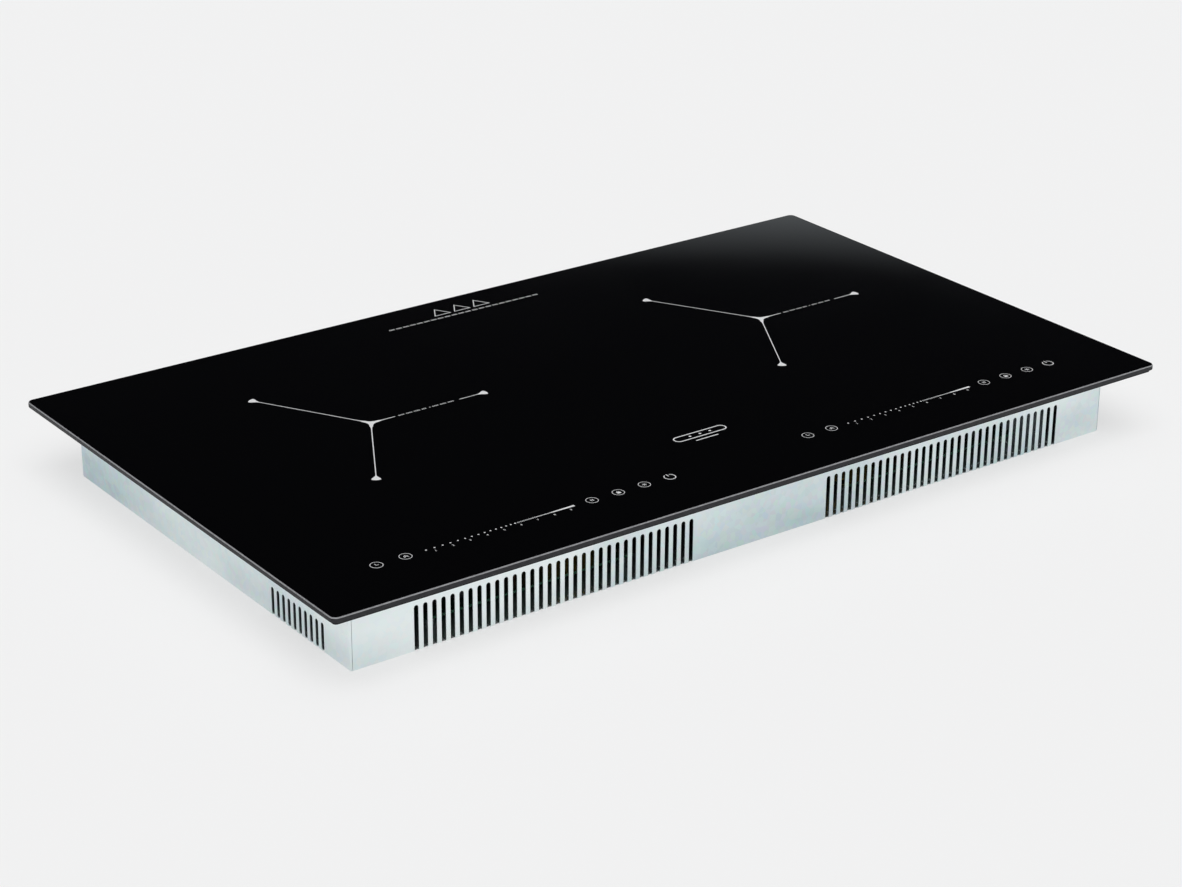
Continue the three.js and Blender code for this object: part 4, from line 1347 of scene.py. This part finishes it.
def flat_pack(name, node, legs):
    """A moulded package that lies flat over its board, on straight tinned legs."""
    low, high, middle = middle_of(node)
    x, floor = middle[0], low[2] + 3.0
    stand_in(name, node, rounded_block((low[0], low[1], floor), high, 0.5, 0.4), BLACK_EPOXY, "black_epoxy")
    places = middle[1] + (np.arange(legs) - (legs - 1) / 2) * (high[1] - low[1]) / legs
    pins = [rounded_block((x - 0.4, y - 0.6, low[2] - 1.4), (x + 0.4, y + 0.6, floor + 0.5), 0.2, 0.15)
            for y in places]
    piece(name + "_legs", joined(pins), [TIN], "spring_steel", closed=True)


def can(x, y, base, radius=4.5, height=15.0):
    """A small can capacitor: a rolled groove near the foot and a rounded shoulder."""
    top = base + height
    profile = [(0, base), (radius - 0.2, base), (radius, base + 0.3), (radius, base + 1.4),
               (radius - 0.35, base + 1.8), (radius, base + 2.2), (radius, top - 0.7), (radius - 0.5, top),
               (0, top)]
    return turned(profile, (x, y, 0), 24)


def board_parts(side, sign):
    """Small parts on a power board: a row of can capacitors, a driver chip, a relay and a header."""
    low, high, middle = middle_of(f"{side}_power_board")
    x, front, back, top = middle[0], low[1], high[1], high[2] + 0.02
    cans = [can(x + sign * 52, front + 14 + 13 * i, top) for i in range(3)]
    piece(f"{side}_can_capacitors", joined(cans), [BLACK_PLASTIC], "black_plastic", weld=0.001, closed=True)
    chip_left, chip_right = x + sign * 68 - 5, x + sign * 68 + 5
    chip = rounded_block((chip_left, front + 14, top), (chip_right, front + 34, top + 3.4), 0.4, 0.3)
    legs = []
    for edge in (chip_left, chip_right):
        for start in front + 16 + 2.54 * np.arange(7):
            high_corner = (edge + 1.6, start + 0.9, top + 1.6)
            legs.append(rounded_block((edge - 1.6, start, top), high_corner, 0.2, 0.1))
    piece(f"{side}_driver_chip", chip, [BLACK_EPOXY], "black_epoxy", closed=True)
    piece(f"{side}_driver_legs", joined(legs), [TIN], "spring_steel", closed=True)
    relay = rounded_block((x - 20, back - 26, top), (x + 6, back - 10, top + 18), 0.8, 0.5)
    header = rounded_block((x + 20, back - 22, top), (x + 44, back - 14, top + 9), 0.6, 0.4)
    piece(f"{side}_relay", relay, [BLACK_PLASTIC], "black_plastic", closed=True)
    piece(f"{side}_board_header", header, [WHITE_PLASTIC], "white_plastic", closed=True)


TERMINAL_WAYS = 5


def terminal_screws():
    """A cross-headed screw in each well of the terminal block."""
    low, high, middle = middle_of("terminal_block")
    places = (np.arange(TERMINAL_WAYS) - (TERMINAL_WAYS - 1) / 2) * (high[0] - low[0]) / TERMINAL_WAYS
    heads = [screw(x, middle[1], low[2] + 0.46 * (high[2] - low[2]), 2.8) for x in places]
    piece("terminal_screws", joined(heads), [SPRING_STEEL], "spring_steel", weld=0.001, closed=True)


for side, sign in (("left", -1), ("right", 1)):
    coil(side)
    coil_plate(side)
    fan_frame(side)
    fan_rotor(side)
    wound_choke(f"{side}_wound_choke", f"{side}_filter_choke", 24, 0.75)
    boxed_capacitor(f"{side}_film_capacitor", f"{side}_resonant_capacitor")
    flat_pack(f"{side}_transistor_pack", f"{side}_power_transistor", 3)
    flat_pack(f"{side}_rectifier_pack", f"{side}_bridge_rectifier", 4)
    board_parts(side, sign)
wound_choke("mains_wound_choke", "mains_choke", 22, 0.9)
boxed_capacitor("mains_film_capacitor", "mains_capacitor")
terminal_screws()


# ---------------------------------------------------------------- finishes of the CAD's own pieces

CARRIED = {"heat_sink": ALUMINIUM, "power_board": LAMINATE, "filter_board": LAMINATE, "touch_board": LAMINATE,
           "touch_carrier": BLACK_PLASTIC, "ferrite_bar": FERRITE, "terminal_block": WHITE_PLASTIC}


def finish_carried_nodes():
    """Every CAD piece that stays in view gets its own finish in place of the plain one it came with."""
    for name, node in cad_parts.items():
        for ending, material in CARRIED.items():
            if ending in name:
                node.data.materials.clear()
                node.data.materials.append(material)


finish_carried_nodes()
